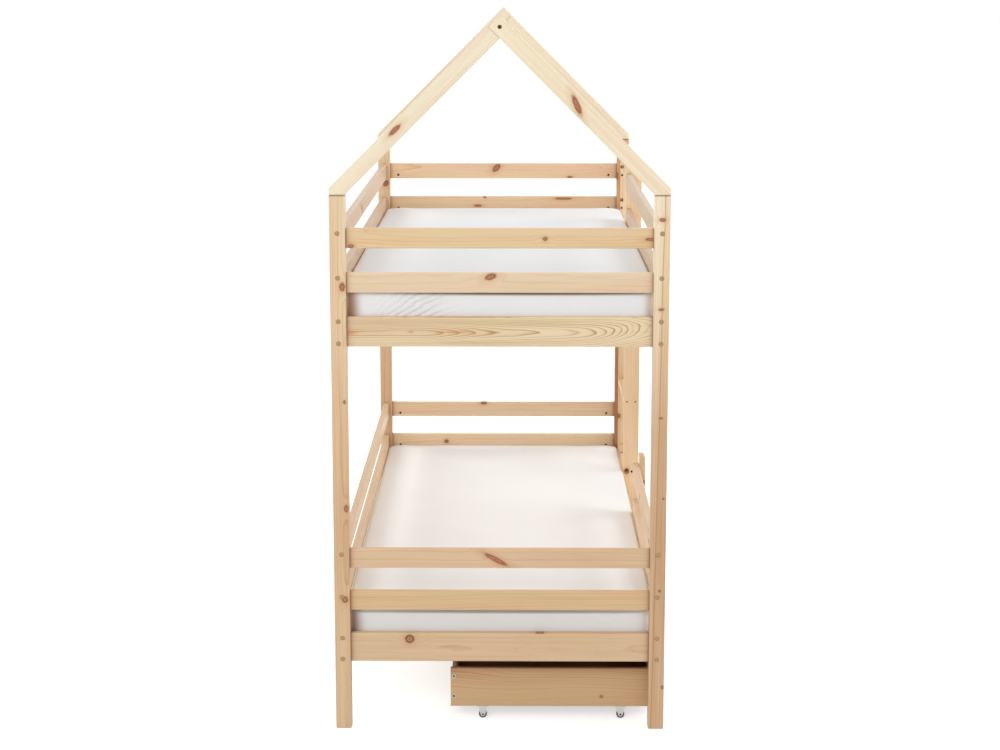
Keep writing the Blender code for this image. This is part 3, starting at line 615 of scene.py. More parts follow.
# the planes that the camera sees a front board in and a rear board in, for the places of knots
FRONT = -0.001
REAR = 2.046
KNOTS = {
    "post_front_left": [((-0.4543, FRONT, 1.3388), .0128, .0080, 0, 0.4, 0.95),
                        ((-0.4519, FRONT, 0.9996), .0050, .0038, 0, 1.0, 0.0),
                        ((-0.4507, FRONT, 0.6790), .0110, .0070, 0, 0.5, 0.3),
                        ((-0.4578, FRONT, 0.4010), .0095, .0085, 0, 0.8, 0.1)],
    "post_front_right": [((0.4668, FRONT, 1.5343), .0056, .0098, 0, 0.15, 0.7),
                         ((0.4668, FRONT, 1.2735), .0044, .0082, 0, 0.15, 0.8),
                         ((0.4691, FRONT, 0.9528), .0034, .0066, 0, 0.7, 0.5),
                         ((0.4801, FRONT, 0.7109), .0036, .0034, 0, 1.0, 0.0),
                         ((0.4730, FRONT, 0.4296), .0044, .0042, 0, 1.0, 0.1),
                         ((0.4852, FRONT, 0.1310), .0058, .0050, 0, 0.5, 0.5)],
    "post_rear_left": [((-0.4598, 2.034, 1.4313), .0125, .0100, 40, 0.4, 1.0)],
    "post_rear_right": [((0.4440, 2.034, 1.4600), .0150, .0060, 0, 0.5, 0.5)],
    "upper_front_guard_high": [((0.1311, FRONT, 1.4777), .0062, .0056, 0, 1.0, 0.0),
                               ((-0.4289, FRONT, 1.4560), .0085, .0055, 0, 0.2, 0.0),
                               ((0.4390, FRONT, 1.4763), .0200, .0050, 0, 0.5, 0.7)],
    "upper_front_guard_low": [((-0.0260, FRONT, 1.3671), .0165, .0088, 16, 0.4, 0.5)],
    "lower_front_guard_high": [((-0.0111, FRONT, 0.5213), .0400, .0080, -29, 0.0, 1.0)],
    "lower_front_rail": [((-0.2681, FRONT, 0.2759), .0130, .0125, 0, 1.0, 0.3),
                         ((0.1198, FRONT, 0.2950), .0130, .0026, 0, 0.1, 0.5),
                         ((0.1710, FRONT, 0.2440), .0400, .0100, 0, -0.009, 0.0)],
    "rafter_front_right": [((0.2190, FRONT, 1.8619), .0300, .0085, 22, 0.1, 0.9)],
    "rafter_front_left": [((-0.2988, FRONT, 1.7907), .0220, .0070, 0, 0.1, 0.9)],
    "upper_rear_guard_high": [((-0.0272, REAR, 1.4904), .0180, .0105, 42, 0.5, 0.5),
                              ((0.2609, REAR, 1.4550), .0100, .0040, 0, 0.7, 0.5)],
    "upper_rear_guard_low": [((-0.0729, REAR, 1.3751), .0045, .0040, 0, 1.0, 0.0),
                             ((-0.1003, REAR, 1.3420), .0160, .0050, 0, 0.0, 1.0),
                             ((0.2356, REAR, 1.3700), .0350, .0050, 0, 0.0, 1.0)],
    "lower_rear_guard_high": [((-0.0778, REAR, 0.5490), .0120, .0060, 0, 0.2, 0.8)],
    "lower_rear_guard_low": [((-0.2276, REAR, 0.3923), .0080, .0070, 0, 0.6, 0.4)],
    "ladder_stile_far": [((0.4588, 2.0137, 0.5050), .0090, .0080, 0, 0.6, 0.3)],
    "ladder_stile_near": [((0.4706, 1.637, 0.3753), .0110, .0095, 0, 0.5, 0.4),
                          ((0.5034, 1.637, 0.3992), .0030, .0070, 0, 0.1, 0.9)],
    "front_drawer_side_near": [((0.3074, 0.0850, 0.0695), .0050, .0040, 0, 0.3, 0.2)],
    "upper_front_rail": [((0.4450, FRONT, 1.2090), .0260, .0200, 0, -0.010, 0.0)],
    # a clear board, which gets none of its own either
    "lower_front_guard_low": [],
}

RESIN = {
    "upper_front_rail": [((-0.1280, FRONT, 1.2045), .0420, .0038, 0.85),
                         ((-0.2575, FRONT, 1.2055), .0080, .0038, 0.85),
                         ((-0.4300, FRONT, 1.2040), .0170, .0050, 0.80)],
}

SAWN = {
    "upper_front_rail": dict(ring=0.0027, pith=(0.004, -0.020), slope=(0.0, -0.025), wander=0.055,
                             contrast=1.7, late=(194, 150, 98)),
    "lower_front_rail": dict(ring=0.0042, pith=(-0.005, -0.060), slope=(0.0, 0.006), wander=0.022,
                             contrast=0.40),
    "lower_front_guard_low": dict(ring=0.0060, pith=(0.080, -0.030), slope=(0.02, 0.0), contrast=0.55),
    "lower_front_guard_high": dict(ring=0.0060, pith=(0.060, -0.080), slope=(0.0, 0.004), wander=0.015,
                                   contrast=0.4),
    "upper_front_guard_low": dict(ring=0.0050, pith=(0.030, -0.090), slope=(0.0, 0.004), wander=0.012,
                                  contrast=0.4),
    "upper_front_guard_high": dict(ring=0.0055, pith=(0.030, -0.050), slope=(0.01, 0.01), contrast=0.5),
    "front_drawer_side_near": dict(ring=0.0050, pith=(0.09, -0.035), slope=(0.012, 0.01), wander=0.06,
                                   contrast=1.1),
}


def group_of(node):
    """Which tones a board gets, by its name."""
    if node.startswith("rafter"):
        return "roof"
    if node.startswith("post"):
        return "post"
    if node.startswith("ladder"):
        return "ladder"
    if "drawer" in node:
        return "drawer"
    if "slat_base" in node:
        return "slats"
    if "_left_" in node or "_right_" in node:
        return "upper_side" if node.startswith("upper") else "lower_side"
    return "upper" if node.startswith("upper") else "lower"


def own_knots(node, rng):
    """A few small knots at random places of a board that the photograph doesn't show."""
    low, high = box_of(node)
    count = int(rng.integers(1, 4))
    points = rng.uniform(low + 0.1 * (high - low), high - 0.1 * (high - low), (count, 3))
    halves = rng.uniform(0.004, 0.0095, count)
    return [(tuple(point), half * rng.uniform(1.0, 1.7), half, rng.uniform(-20, 20), rng.uniform(0, 0.8),
             rng.uniform(0.2, 0.9)) for point, half in zip(points, halves)]


def random_cut(rng):
    """How a board was sawn that the photograph doesn't show well: drawn in a fixed order."""
    side = rng.choice((-1, 1))
    return dict(ring=rng.uniform(0.0036, 0.0062),
                pith=(side * rng.uniform(0.0, 0.09), -rng.uniform(0.03, 0.08)),
                slope=(rng.uniform(-0.01, 0.01), rng.uniform(-0.016, 0.016)),
                wander=rng.uniform(0.015, 0.035), contrast=rng.uniform(0.45, 0.75))


SLAT_ROW = (1, -1.0, 0.1455)
BUTTED = ("rail", "guard_low", "guard_high")
wooden = [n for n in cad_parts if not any(word in n for word in ("mattress", "wheel", "bottom"))]
for number, node in enumerate(sorted(wooden)):
    rng = np.random.default_rng(100 + number)
    group = group_of(node)
    pale = np.array(TONES.get(node, TONES[group]), float) * rng.uniform(0.985, 1.01)
    settings = random_cut(rng)
    settings.update(SAWN.get(node, {}))
    if group == "post":
        fade = RIGHT_FADE_WITH_SHADE if node == "post_front_right" else POST_FADE_WITH_SHADE
        settings.update(ring=0.0070, contrast=0.55, fade=fade, lean=LEAN.get(node, POST_LEAN))
    if group == "slats":
        settings.update(joined=SLAT_ROW, knots=())
    else:
        settings["knots"] = KNOTS[node] if node in KNOTS else own_knots(node, rng)
    settings.update(strips=STRIPS.get(node, ()), resin=RESIN.get(node, ()), butted=node.endswith(BUTTED))
    late = settings.pop("late", pale * LATE)
    material = pine("pine " + node.replace("_", " "), node, pale, late, seed=200 + number, **settings)
    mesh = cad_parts[node].data
    mesh.materials.clear()
    mesh.materials.append(material)
print(len(wooden), "boards have their own pine")

# %% [markdown]
# The small hardware needs seven plain finishes. Zinc plate is grey metal with faint crystals, screws
# and rivets are dark and oiled, the barrel nuts are browned, the caps are moulded in a tan that
# copies the wood, the castor wheels are grey plastic with a fine grain, the drawers' bottoms are
# hardboard, and the pilot holes are flat dark discs, a painted shade for the holes. The dark oiled
# steel also goes into the recesses of nuts, screws and washers, as painted shade. None of them is
# one flat colour in life, so each gets a little noise in colour, roughness and height.

# %% Hardware finishes
def speckled(name, colour, spread, scale, roughness, bump, **plain):
    """A material whose colour, roughness and height follow two sizes of noise by a small spread."""
    material, tree, shader = new_material(name, **plain)
    place = add(tree, "ShaderNodeTexCoord").outputs["Object"]
    coarse = noise(tree, place, scale, 3.0)[0]
    fine = noise(tree, place, scale * 7, 2.0)[0]
    base = add(tree, "ShaderNodeRGB")
    base.outputs[0].default_value = linear(*colour)
    tinted = vector(tree, "SCALE", base.outputs[0], around(tree, coarse, spread, 1.0))
    tree.links.new(tinted, shader.inputs["Base Color"])
    tree.links.new(around(tree, coarse, 0.25, roughness), shader.inputs["Roughness"])
    surface = add(tree, "ShaderNodeBump", {"Strength": bump, "Distance": 0.0003, "Height": fine})
    tree.links.new(surface.outputs[0], shader.inputs["Normal"])
    return material


zinc = speckled("zinc plate", (186, 188, 186), 0.5, 420.0, 0.40, 0.15, Metallic=1.0)
dark_steel = speckled("oiled steel", (50, 44, 40), 0.6, 500.0, 0.55, 0.2, Metallic=0.8)
bronze = speckled("brown nut", (116, 84, 56), 0.6, 500.0, 0.45, 0.2, Metallic=1.0)
cap_plastic = speckled("tan cap plastic", (178, 142, 98), 0.22, 600.0, 0.5, 0.1)
wheel_plastic = speckled("grey wheel plastic", (98, 100, 102), 0.2, 700.0, 0.5, 0.2)
hardboard = speckled("hardboard", (118, 80, 52), 0.55, 260.0, 0.62, 0.5)
painted_hole_shade = speckled("painted hole shade", (34, 24, 18), 0.4, 500.0, 0.7, 0.2)
finishes = zinc, dark_steel, bronze, cap_plastic, wheel_plastic, hardboard, painted_hole_shade
print("finishes:", [finish.name for finish in finishes])

for node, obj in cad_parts.items():
    if node.endswith("_bottom"):
        obj.data.materials.clear()
        obj.data.materials.append(hardboard)

# %% [markdown]
# A castor fork is bent from zinc-plated sheet and screwed under the drawer's side board. In the
# frame the two are one node, so its faces are shared out: those that lie below the board's lower
# edge get the zinc, and the rest keep the pine.

# %% Zinc on the castor forks
BOARD_FOOT = 0.0385


def faces_below(mesh, height):
    """For each face, 1 where its centre lies below the height, and 0 elsewhere."""
    centres = np.empty(len(mesh.polygons) * 3)
    mesh.polygons.foreach_get("center", centres)
    return (centres.reshape(-1, 3)[:, 2] < height - 1e-5).astype(np.int32)


for node in wooden:
    if "_side_near" in node or "_side_far" in node:
        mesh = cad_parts[node].data
        mesh.materials.append(zinc)
        below = faces_below(mesh, BOARD_FOOT)
        mesh.polygons.foreach_set("material_index", below)
        print(node, "has", int(below.sum()), "steel faces")

# %% [markdown]
# Caps, nuts, screws and wheels are all turned parts: an outline of radius and height, carried once
# round an axis. A screw's cross or a bolt's hexagon is a ring that isn't round, so a row of the
# outline may carry a third number, which says how much its ring takes that shape. The whole set of
# one kind is computed as one array: every ring of every copy at once.

# %% Turned parts
CREASE = math.radians(38)


def mesh_piece(name, verts, faces, material, body, recess=None):
    """An object at the origin from arrays of points and faces, riding on a body of the frame. A
    recess is a second material, a painted shade in the recess, and for each face 1 where it lies in
    the recess and else 0."""
    mesh = bpy.data.meshes.new(name)
    mesh.from_pydata(np.asarray(verts).tolist(), [], faces)
    mesh.materials.append(material)
    if recess:
        second, inside = recess
        mesh.materials.append(second)
        mesh.polygons.foreach_set("material_index", np.asarray(inside, np.int32))
    mesh.shade_smooth()
    mesh.set_sharp_from_angle(angle=CREASE)
    obj = bpy.data.objects.new(name, mesh)
    scene.collection.objects.link(obj)
    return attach(obj, body)


def hexagon(angle):
    """Radius of a hexagon whose flats lie at radius 1: one over the cosine of the angle from the
    middle of the nearest flat."""
    return 1 / np.cos((angle + math.pi / 6) % (math.pi / 3) - math.pi / 6)


def cross(angle):
    """Radius of a cross: 1 along its four arms and less between them."""
    return 0.34 + 0.66 * np.abs(np.cos(2 * angle)) ** 5


def frames_along(ways, twist):
    """For each direction a square frame whose third axis is that direction, turned by twist."""
    n = np.asarray(ways, float)
    side = np.where(np.abs(n[:, 2:]) > 0.9, (1.0, 0.0, 0.0), (0.0, 0.0, 1.0))
    u = np.cross(side, n)
    u /= np.linalg.norm(u, axis=1, keepdims=True)
    v = np.cross(n, u)
    c, s = np.cos(twist)[:, None], np.sin(twist)[:, None]
    return np.stack([u * c + v * s, v * c - u * s, n], axis=2)


def turned(profile, places, ways, sides=24, shape=None, seed=1):
    """Points and faces of copies of one turned part, each turned about its axis by a random angle. A
    point is radius * (1 - k + k * shape(angle)) times (cos, sin) across and height along its axis,
    where k is the row's third number, and the two ends close in a pole."""
    profile = np.array([(*row, 0.0)[:3] for row in profile], float)
    angle = np.linspace(0, 2 * math.pi, sides, endpoint=False)
    figure = shape(angle) if shape else np.ones(sides)
    radius = profile[1:-1, :1] * (1 - profile[1:-1, 2:] + profile[1:-1, 2:] * figure)
    height = np.broadcast_to(profile[1:-1, 1:2], radius.shape)
    rings = np.stack([radius * np.cos(angle), radius * np.sin(angle), height], axis=2).reshape(-1, 3)
    poles = np.array([(0, 0, profile[0, 1]), (0, 0, profile[-1, 1])])
    unit = np.vstack([rings, poles])
    twist = np.random.default_rng(seed).uniform(0, 2 * math.pi, len(places))
    turn = frames_along(ways, twist)
    verts = np.einsum("kij,nj->kni", turn, unit) + np.asarray(places, float)[:, None]

    count = len(profile) - 2
    a = np.arange(sides)
    b = (a + 1) % sides
    row = np.arange(count - 1)[:, None] * sides
    quads = np.stack([row + a, row + sides + a, row + sides + b, row + b], axis=2).reshape(-1, 4)
    last = (count - 1) * sides
    front = np.stack([np.full(sides, count * sides), a, b], axis=1)
    back = np.stack([np.full(sides, count * sides + 1), last + b, last + a], axis=1)
    jumps = np.arange(len(verts))[:, None, None] * len(unit)
    faces = (quads + jumps).reshape(-1, 4).tolist()
    faces += (front + jumps).reshape(-1, 3).tolist() + (back + jumps).reshape(-1, 3).tolist()
    return verts.reshape(-1, 3), faces


def recess_faces(profile, copies, sides, rows):
    """1 for the first rows of faces of every copy of a turned part and for its front pole, else 0."""
    quads = np.repeat(np.arange(len(profile) - 3) < rows, sides)
    return np.concatenate([np.tile(quads, copies), np.ones(copies * sides), np.zeros(copies * sides)])


def fasteners(name, profile, places, ways, material, body, sides=24, shape=None, dark_rows=0, seed=1):
    """One piece from copies of a turned part at places in bed coordinates. Where it has a recess,
    its first rows of faces get the dark steel, as painted shade."""
    verts, faces = turned(profile, bed_to_frame(places), ways, sides, shape, seed)
    recess = (dark_steel, recess_faces(profile, len(places), sides, dark_rows)) if dark_rows else None
    return mesh_piece(name, verts, faces, material, body, recess)


CAP = [(0, -0.0001), (0.0035, -0.0002), (0.0060, -0.0004), (0.0069, -0.0009), (0.0072, -0.0016),
       (0.0072, -0.0055), (0, -0.0055)]
NUT = [(0, -0.0052), (0.0024, -0.0048, 1), (0.0024, -0.0012, 1), (0.0028, -0.0010, 1), (0.0040, -0.0009),
       (0.0046, -0.0013), (0.0048, -0.0022), (0.0048, -0.0120), (0, -0.0120)]
print("a nut has", len(turned(NUT, [(0, 0, 0)], [(0, 0, 1)], 24, hexagon)[1]), "faces")

# %% [markdown]
# Every board meets its posts with bolts. A bolt goes in from the outside of the post, and its head
# is hidden under a cap. Its other end is held by a barrel nut that is let into the inner face of the
# board. So the places of caps and nuts follow from the boards' own boxes: the boards along the bed
# take their bolts near their edges, and those across it a little further in, so that the two sets
# pass each other inside the post.

# %% Bolt caps and barrel nuts
NUT_INSET = 0.032
GUARD_BOLT_EDGE = 0.014
SIDE_BOLT_EDGE = 0.0115
END_BOLT_EDGE = 0.030
AT_REAR_POST = 2.0


def bolt_heights(node, runs_along):
    """Heights of a board's bolts: two in a rail, one in a guard."""
    low, high = box_of(node)
    if node.endswith("rail"):
        edge = SIDE_BOLT_EDGE if runs_along else END_BOLT_EDGE
        return [low[2] + edge, high[2] - edge]
    return [high[2] - GUARD_BOLT_EDGE if runs_along else low[2] + GUARD_BOLT_EDGE]


cap_places, cap_ways, nut_places, nut_ways = [], [], [], []
for node in (n for n in wooden if n.endswith(BUTTED)):
    bunk, where, _ = node.split("_", 2)
    low, high = box_of(node)
    runs_along = where in ("left", "right")
    for z in bolt_heights(node, runs_along):
        if runs_along:
            side = -1 if where == "left" else 1
            inner = high[0] if side < 0 else low[0]
            x = (low[0] + high[0]) / 2
            ends = [("front", low[1] + NUT_INSET)]
            if high[1] > AT_REAR_POST:
                ends.append(("rear", high[1] - NUT_INSET))
            elif bunk == "upper":
                nut_places.append((inner, high[1] - NUT_INSET, z))
                nut_ways.append((-side, 0, 0))
            for end, y in ends:
                nut_places.append((inner, y, z))
                nut_ways.append((-side, 0, 0))
                outer = box_of(f"post_{end}_{where}")[0 if end == "front" else 1][1]
                cap_places.append((x, outer, z))
                cap_ways.append((0, -1 if end == "front" else 1, 0))
        else:
            end = -1 if where == "front" else 1
            inner = high[1] if end < 0 else low[1]
            y = (low[1] + high[1]) / 2
            for side, hand in ((-1, "left"), (1, "right")):
                edge = low[0] + NUT_INSET if side < 0 else high[0] - NUT_INSET
                nut_places.append((edge, inner, z))
                nut_ways.append((0, -end, 0))
                outer = box_of(f"post_{where}_{hand}")[0 if side < 0 else 1][0]
                cap_places.append((outer, y, z))
                cap_ways.append((side, 0, 0))

fasteners("bolt_caps", CAP, cap_places, cap_ways, cap_plastic, "bed")
fasteners("barrel_nuts", NUT, nut_places, nut_ways, bronze, "bed", shape=hexagon, dark_rows=2)
print(len(cap_places), "caps and", len(nut_places), "barrel nuts")

# %% [markdown]
# The ridge of each gable is held by one socket screw, set back in a hole. Small dark screws hold the
# treads in the stiles and the short guards on their batten. The stiles are bolted on, with a pilot
# hole beside each bolt, shown as a flat dark disc of painted shade, and the drawers' sides are
# screwed to their backs with pale cup washers. Each kind has its own outline, and its recess is
# dark steel, a painted shade.

# %% Screws
SOCKET = [(0, -0.0062), (0.0026, -0.0060, 1), (0.0026, -0.0034, 1), (0.0031, -0.0031, 1), (0.0050, -0.0030),
          (0.0058, -0.0034), (0.0061, -0.0042), (0.0061, -0.0085), (0, -0.0085)]
SCREW = [(0, -0.0012), (0.0011, -0.0011, 1), (0.0014, 0.0000, 1), (0.0020, 0.0002), (0.0028, 0.0002),
         (0.0031, 0.0000), (0.0030, -0.0005), (0.0014, -0.0020), (0, -0.0020)]
WASHER = [(0, -0.0022), (0.0020, -0.0020, 1), (0.0024, 0.0000, 1), (0.0030, 0.0002), (0.0036, 0.0001),
          (0.0052, 0.0004), (0.0060, 0.0002), (0.0061, -0.0004), (0.0030, -0.0030), (0, -0.0030)]
BOLT_HEAD = [(0, -0.0008), (0.0022, -0.0006, 1), (0.0026, 0.0012, 1), (0.0040, 0.0014), (0.0056, 0.0011),
             (0.0066, 0.0005), (0.0068, -0.0003), (0.0030, -0.0010), (0, -0.0010)]
HOLE_SHADE_DISC = [(0, 0.0001), (0.0036, 0.0001), (0.0049, -0.0001), (0.0052, -0.0004), (0, -0.0004)]

RAFTER_DEPTH = 0.046
STILE_SCREWS_X = (0.4694, 0.5010)
BATTEN_SCREWS_APART = 0.014
DRAWER_SCREWS_Z = (0.0705, 0.1335)
DRAWER_SCREWS_IN = 0.001

tips = []
for end, hand in ((-1, "front"), (1, "rear")):
    low, high = box_of(f"rafter_{hand}_right")
    tips.append((0, low[1] if end < 0 else high[1], high[2] - RAFTER_DEPTH / math.sqrt(2)))
fasteners("ridge_screws", SOCKET, tips, [(0, -1, 0), (0, 1, 0)], bronze, "bed", shape=hexagon, dark_rows=2)

places, ways = [], []
for stile, way in (("near", -1), ("far", 1)):
    low, high = box_of(f"ladder_stile_{stile}")
    for tread in (1, 2, 3):
        tread_low, tread_high = box_of(f"ladder_tread_{tread}")
        for x in STILE_SCREWS_X:
            places.append((x, low[1] if way < 0 else high[1], (tread_low[2] + tread_high[2]) / 2))
            ways.append((0, way, 0))
batten_low, batten_high = box_of("lower_guard_batten")
for board in ("lower_right_guard_low", "lower_right_guard_high", "lower_right_rail"):
    low, high = box_of(board)
    for shift in (-BATTEN_SCREWS_APART, BATTEN_SCREWS_APART):
        places.append((low[0], (batten_low[1] + batten_high[1]) / 2, (low[2] + high[2]) / 2 + shift))
        ways.append((-1, 0, 0))
fasteners("frame_screws", SCREW, places, ways, dark_steel, "bed", shape=cross)

near = box_of("ladder_stile_near")[0][1]
far = box_of("ladder_stile_far")[0][1]
places = [(0.4632, far, 1.4983), (0.4632, far, 1.3690), (0.4710, near, 0.3790)]
fasteners("stile_bolts", BOLT_HEAD, places, [(0, -1, 0)] * 3, bronze, "bed", 28, hexagon, dark_rows=2)
# pilot holes as flat dark discs: painted shade
places = [(0.4632, far, 1.4655), (0.4632, far, 1.3375), (0.4900, near, 0.3735)]
fasteners("stile_hole_shades", HOLE_SHADE_DISC, places, [(0, -1, 0)] * 3, painted_hole_shade, "bed", 20)

for drawer in ("front_drawer", "rear_drawer"):
    places, ways = [], []
    for side, way in (("near", -1), ("far", 1)):
        low, high = box_of(f"{drawer}_side_{side}")
        back_low, back_high = box_of(f"{drawer}_back")
        for z in DRAWER_SCREWS_Z:
            x = (back_low[0] + back_high[0]) / 2 - DRAWER_SCREWS_IN
            places.append((x, low[1] if way < 0 else high[1], z))
            ways.append((0, way, 0))
    fasteners(f"{drawer}_screws", WASHER, places, ways, zinc, drawer, 32, cross, dark_rows=3, seed=4)
print("screws are in")

# %% [markdown]
# The castor wheels of the frame have few sides, which is right for a solid that only has to roll.
# From nearby they would look cut, so each gets a finer wheel in its place: a soft tread, a dished
# web and a hub, turned round the same axle. The rivet that carries the wheel shows as a small head
# on each cheek of the fork.

# %% Castor wheels
WHEEL = [(0, 0.0060), (0.0030, 0.0060), (0.0056, 0.0059), (0.0060, 0.0055), (0.0062, 0.0046),
         (0.0066, 0.0044), (0.0092, 0.0047), (0.0098, 0.0058), (0.0106, 0.0060), (0.0117, 0.0055),
         (0.0123, 0.0042), (0.0125, 0.0020)]
WHEEL += [(r, -h) for r, h in reversed(WHEEL)]
SMALL_RIVET = [(0, 0.0013), (0.0012, 0.0012), (0.0024, 0.0008), (0.0030, 0.0001), (0.0030, -0.0004),
               (0, -0.0004)]
CHEEK_OUTSIDE = 0.0023
wheels = [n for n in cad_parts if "_wheel_" in n]
for node in wheels:
    low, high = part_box(node)
    centre = (np.array(low) + np.array(high)) / 2
    verts, faces = turned(WHEEL, [centre], [(0, 1, 0)], 48)
    wheel = mesh_piece(f"{node}_turned", verts, faces, wheel_plastic, node)
    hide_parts(node)

for drawer in ("front_drawer", "rear_drawer"):
    places, ways = [], []
    for node in (n for n in wheels if n.startswith(drawer)):
        low, high = box_of(node)
        x, z = (low[0] + high[0]) / 2, (low[2] + high[2]) / 2
        for way in (-1, 1):
            edge = high[1] if way > 0 else low[1]
            places.append((x, edge + way * CHEEK_OUTSIDE, z))
            ways.append((0, way, 0))
    fasteners(f"{drawer}_rivets", SMALL_RIVET, places, ways, dark_steel, drawer, 20)
print(len(wheels), "wheels turned")

# %% [markdown]
# The mattresses are foam in a tight white cover. A box with bevelled edges looks like plastic, so
# the shape starts as a grid: the plan has round corners, the top is crowned, the edge is a soft
# roll, and the bottom is flat on the slats. The cover is then blown up like a balloon by a cloth
# simulation, with the bottom held. That gives the sides their belly and the corners their small
# tension folds.

# %% The mattress as a grid
def stations(half, edge, step):
    """Places from -half to half, close together near the ends and a step apart between them."""
    near = half - edge * np.array([0, 0.12, 0.3, 0.55, 0.85, 1.3])
    inner = np.linspace(-near[-1], near[-1], int(2 * near[-1] / step) + 1)
    return np.concatenate([-near[:-1], inner, near[:-1][::-1]])


def rounded_plan(x, y, half, radius):
    """A square corner turned into a round one: past the corner's centre, a point keeps its largest
    offset as its distance, so squares about the centre become arcs."""
    core_x = np.sign(x) * np.minimum(np.abs(x), half[0] - radius)
    core_y = np.sign(y) * np.minimum(np.abs(y), half[1] - radius)
    dx, dy = x - core_x, y - core_y
    reach = np.maximum(np.abs(dx), np.abs(dy))
    length = np.maximum(np.hypot(dx, dy), 1e-9)
    return core_x + dx * reach / length, core_y + dy * reach / length


def mattress_form(size, thickness, corner, edge, crown, step):
    """Points and faces of a closed mattress about the origin. Two sheets, top and bottom, share one
    rounded plan. The top is crown * (1 - u squared)(1 - v squared) high, and both drop by a quarter
    circle within one edge radius of the outline. Rings join their borders."""
    half = size[0] / 2, size[1] / 2
    xs, ys = stations(half[0], edge, step), stations(half[1], edge, step)
    gx, gy = np.meshgrid(xs, ys, indexing="ij")
    from_edge = np.minimum(half[0] - np.abs(gx), half[1] - np.abs(gy))
    inward = np.clip(from_edge / edge, 0, 1)
    roll = edge * (1 - np.sqrt(np.clip(1 - (1 - inward) ** 2, 0, 1)))
    px, py = rounded_plan(gx, gy, half, corner)
    u, v = gx / half[0], gy / half[1]
    top = thickness - roll + crown * (1 - u ** 2) * (1 - v ** 2)
    bottom = roll
    nx, ny = gx.shape
    upper = np.stack([px, py, top], axis=2).reshape(-1, 3)
    lower = np.stack([px, py, bottom], axis=2).reshape(-1, 3)
    index = np.arange(nx * ny).reshape(nx, ny)
    cells = np.stack([index[:-1, :-1], index[1:, :-1], index[1:, 1:], index[:-1, 1:]], axis=2).reshape(-1, 4)
    border = np.concatenate([index[:-1, 0], index[-1, :-1], index[:0:-1, -1], index[0, :0:-1]])
    layers = np.linspace(0, 1, 7)[1:-1]
    wall = [upper[border] * (1 - t) + lower[border] * t for t in layers]
    verts = np.vstack([upper, lower, *wall])
    rows = [border] + [2 * nx * ny + i * len(border) + np.arange(len(border)) for i in range(len(layers))]
    rows.append(nx * ny + border)
    faces = cells.tolist() + (cells[:, ::-1] + nx * ny).tolist()
    for first, second in zip(rows, rows[1:]):
        faces += np.stack([first, second, np.roll(second, -1), np.roll(first, -1)], axis=1).tolist()
    return verts, faces


foam_verts, foam_faces = mattress_form(size=(0.906, 2.006), thickness=0.1360, corner=0.058,
                                       edge=0.010, crown=0.0020, step=0.0145)
print("mattress grid of", len(foam_faces), "faces")

# %% [markdown]
# The simulation treats the cover as cloth with air pressed into it. Gravity is off, because the
# foam carries the weight. Twenty short steps are enough, and no point may move further than a
# small cap. A cover that swells upwards draws its sides in, so its plan is brought back afterwards
# to the room that it has between the boards: its outermost points are scaled to that size, and
# what still stands past it is pressed flat, as a real mattress is by its bed.

# %% Blow up the cover
STEPS = 20
HELD_BELOW = 0.004
SWELLS_BY = 0.006
ROOM = np.array([0.4562, 1.0062])
CLOTH = dict(quality=5, mass=0.25, tension_stiffness=12, compression_stiffness=12, shear_stiffness=6,
             bending_stiffness=0.4, use_pressure=True, uniform_pressure_force=4, vertex_group_mass="held")


def blown_up(verts, faces, held, cap):
    """The same points after a cloth simulation with pressure. A step of a length becomes one of
    cap * tanh(length / cap), so none is longer than the cap."""
    mesh = bpy.data.meshes.new("cover")
    mesh.from_pydata(verts.tolist(), [], faces)
    obj = bpy.data.objects.new("cover", mesh)
    scene.collection.objects.link(obj)
    group = obj.vertex_groups.new(name="held")
    group.add(np.flatnonzero(held).tolist(), 1.0, "REPLACE")
    cloth = obj.modifiers.new("cover", "CLOTH")
    for key, value in CLOTH.items():
        setattr(cloth.settings, key, value)
    cloth.settings.effector_weights.gravity = 0
    cloth.point_cache.frame_start, cloth.point_cache.frame_end = 1, STEPS
    for step in range(1, STEPS + 1):
        scene.frame_set(step)
    swollen = obj.evaluated_get(bpy.context.evaluated_depsgraph_get()).to_mesh()
    moved = np.empty(len(verts) * 3)
    swollen.vertices.foreach_get("co", moved)
    scene.frame_set(1)
    bpy.data.objects.remove(obj)
    step = moved.reshape(-1, 3) - verts
    length = np.maximum(np.linalg.norm(step, axis=1, keepdims=True), 1e-9)
    return verts + step / length * cap * np.tanh(length / cap)


def fitted(verts, room):
    """The plan scaled so that all but its outermost 3% of points lie in the room, a hair larger, and
    then cut back to it."""
    scaled = verts.copy()
    scaled[:, :2] *= room / np.quantile(np.abs(verts[:, :2]), 0.97, axis=0) * 1.002
    scaled[:, :2] = np.clip(scaled[:, :2], -room, room)
    return scaled


foam_verts = blown_up(foam_verts, foam_faces, foam_verts[:, 2] < HELD_BELOW, SWELLS_BY)
foam_verts = fitted(foam_verts, ROOM)
print("mattress", np.round(np.ptp(foam_verts, axis=0), 4), "m")

# %% [markdown]
# A cover that has been pulled over its foam keeps a few long soft folds across the top and short
# ones at its corners. They are added to the mesh as ridges: a narrow wave across the fold's
# direction, fading out with distance from the fold's middle. The finest folds, on the front, are
# narrower than the grid can follow, and come with the cloth's material.

# %% Folds
MATTRESS_MIDDLE = np.array([0, 0, 0.065])
MATTRESS_HALF = np.array([0.45, 1.0, 0.068])
FLAT_BELOW = 0.02


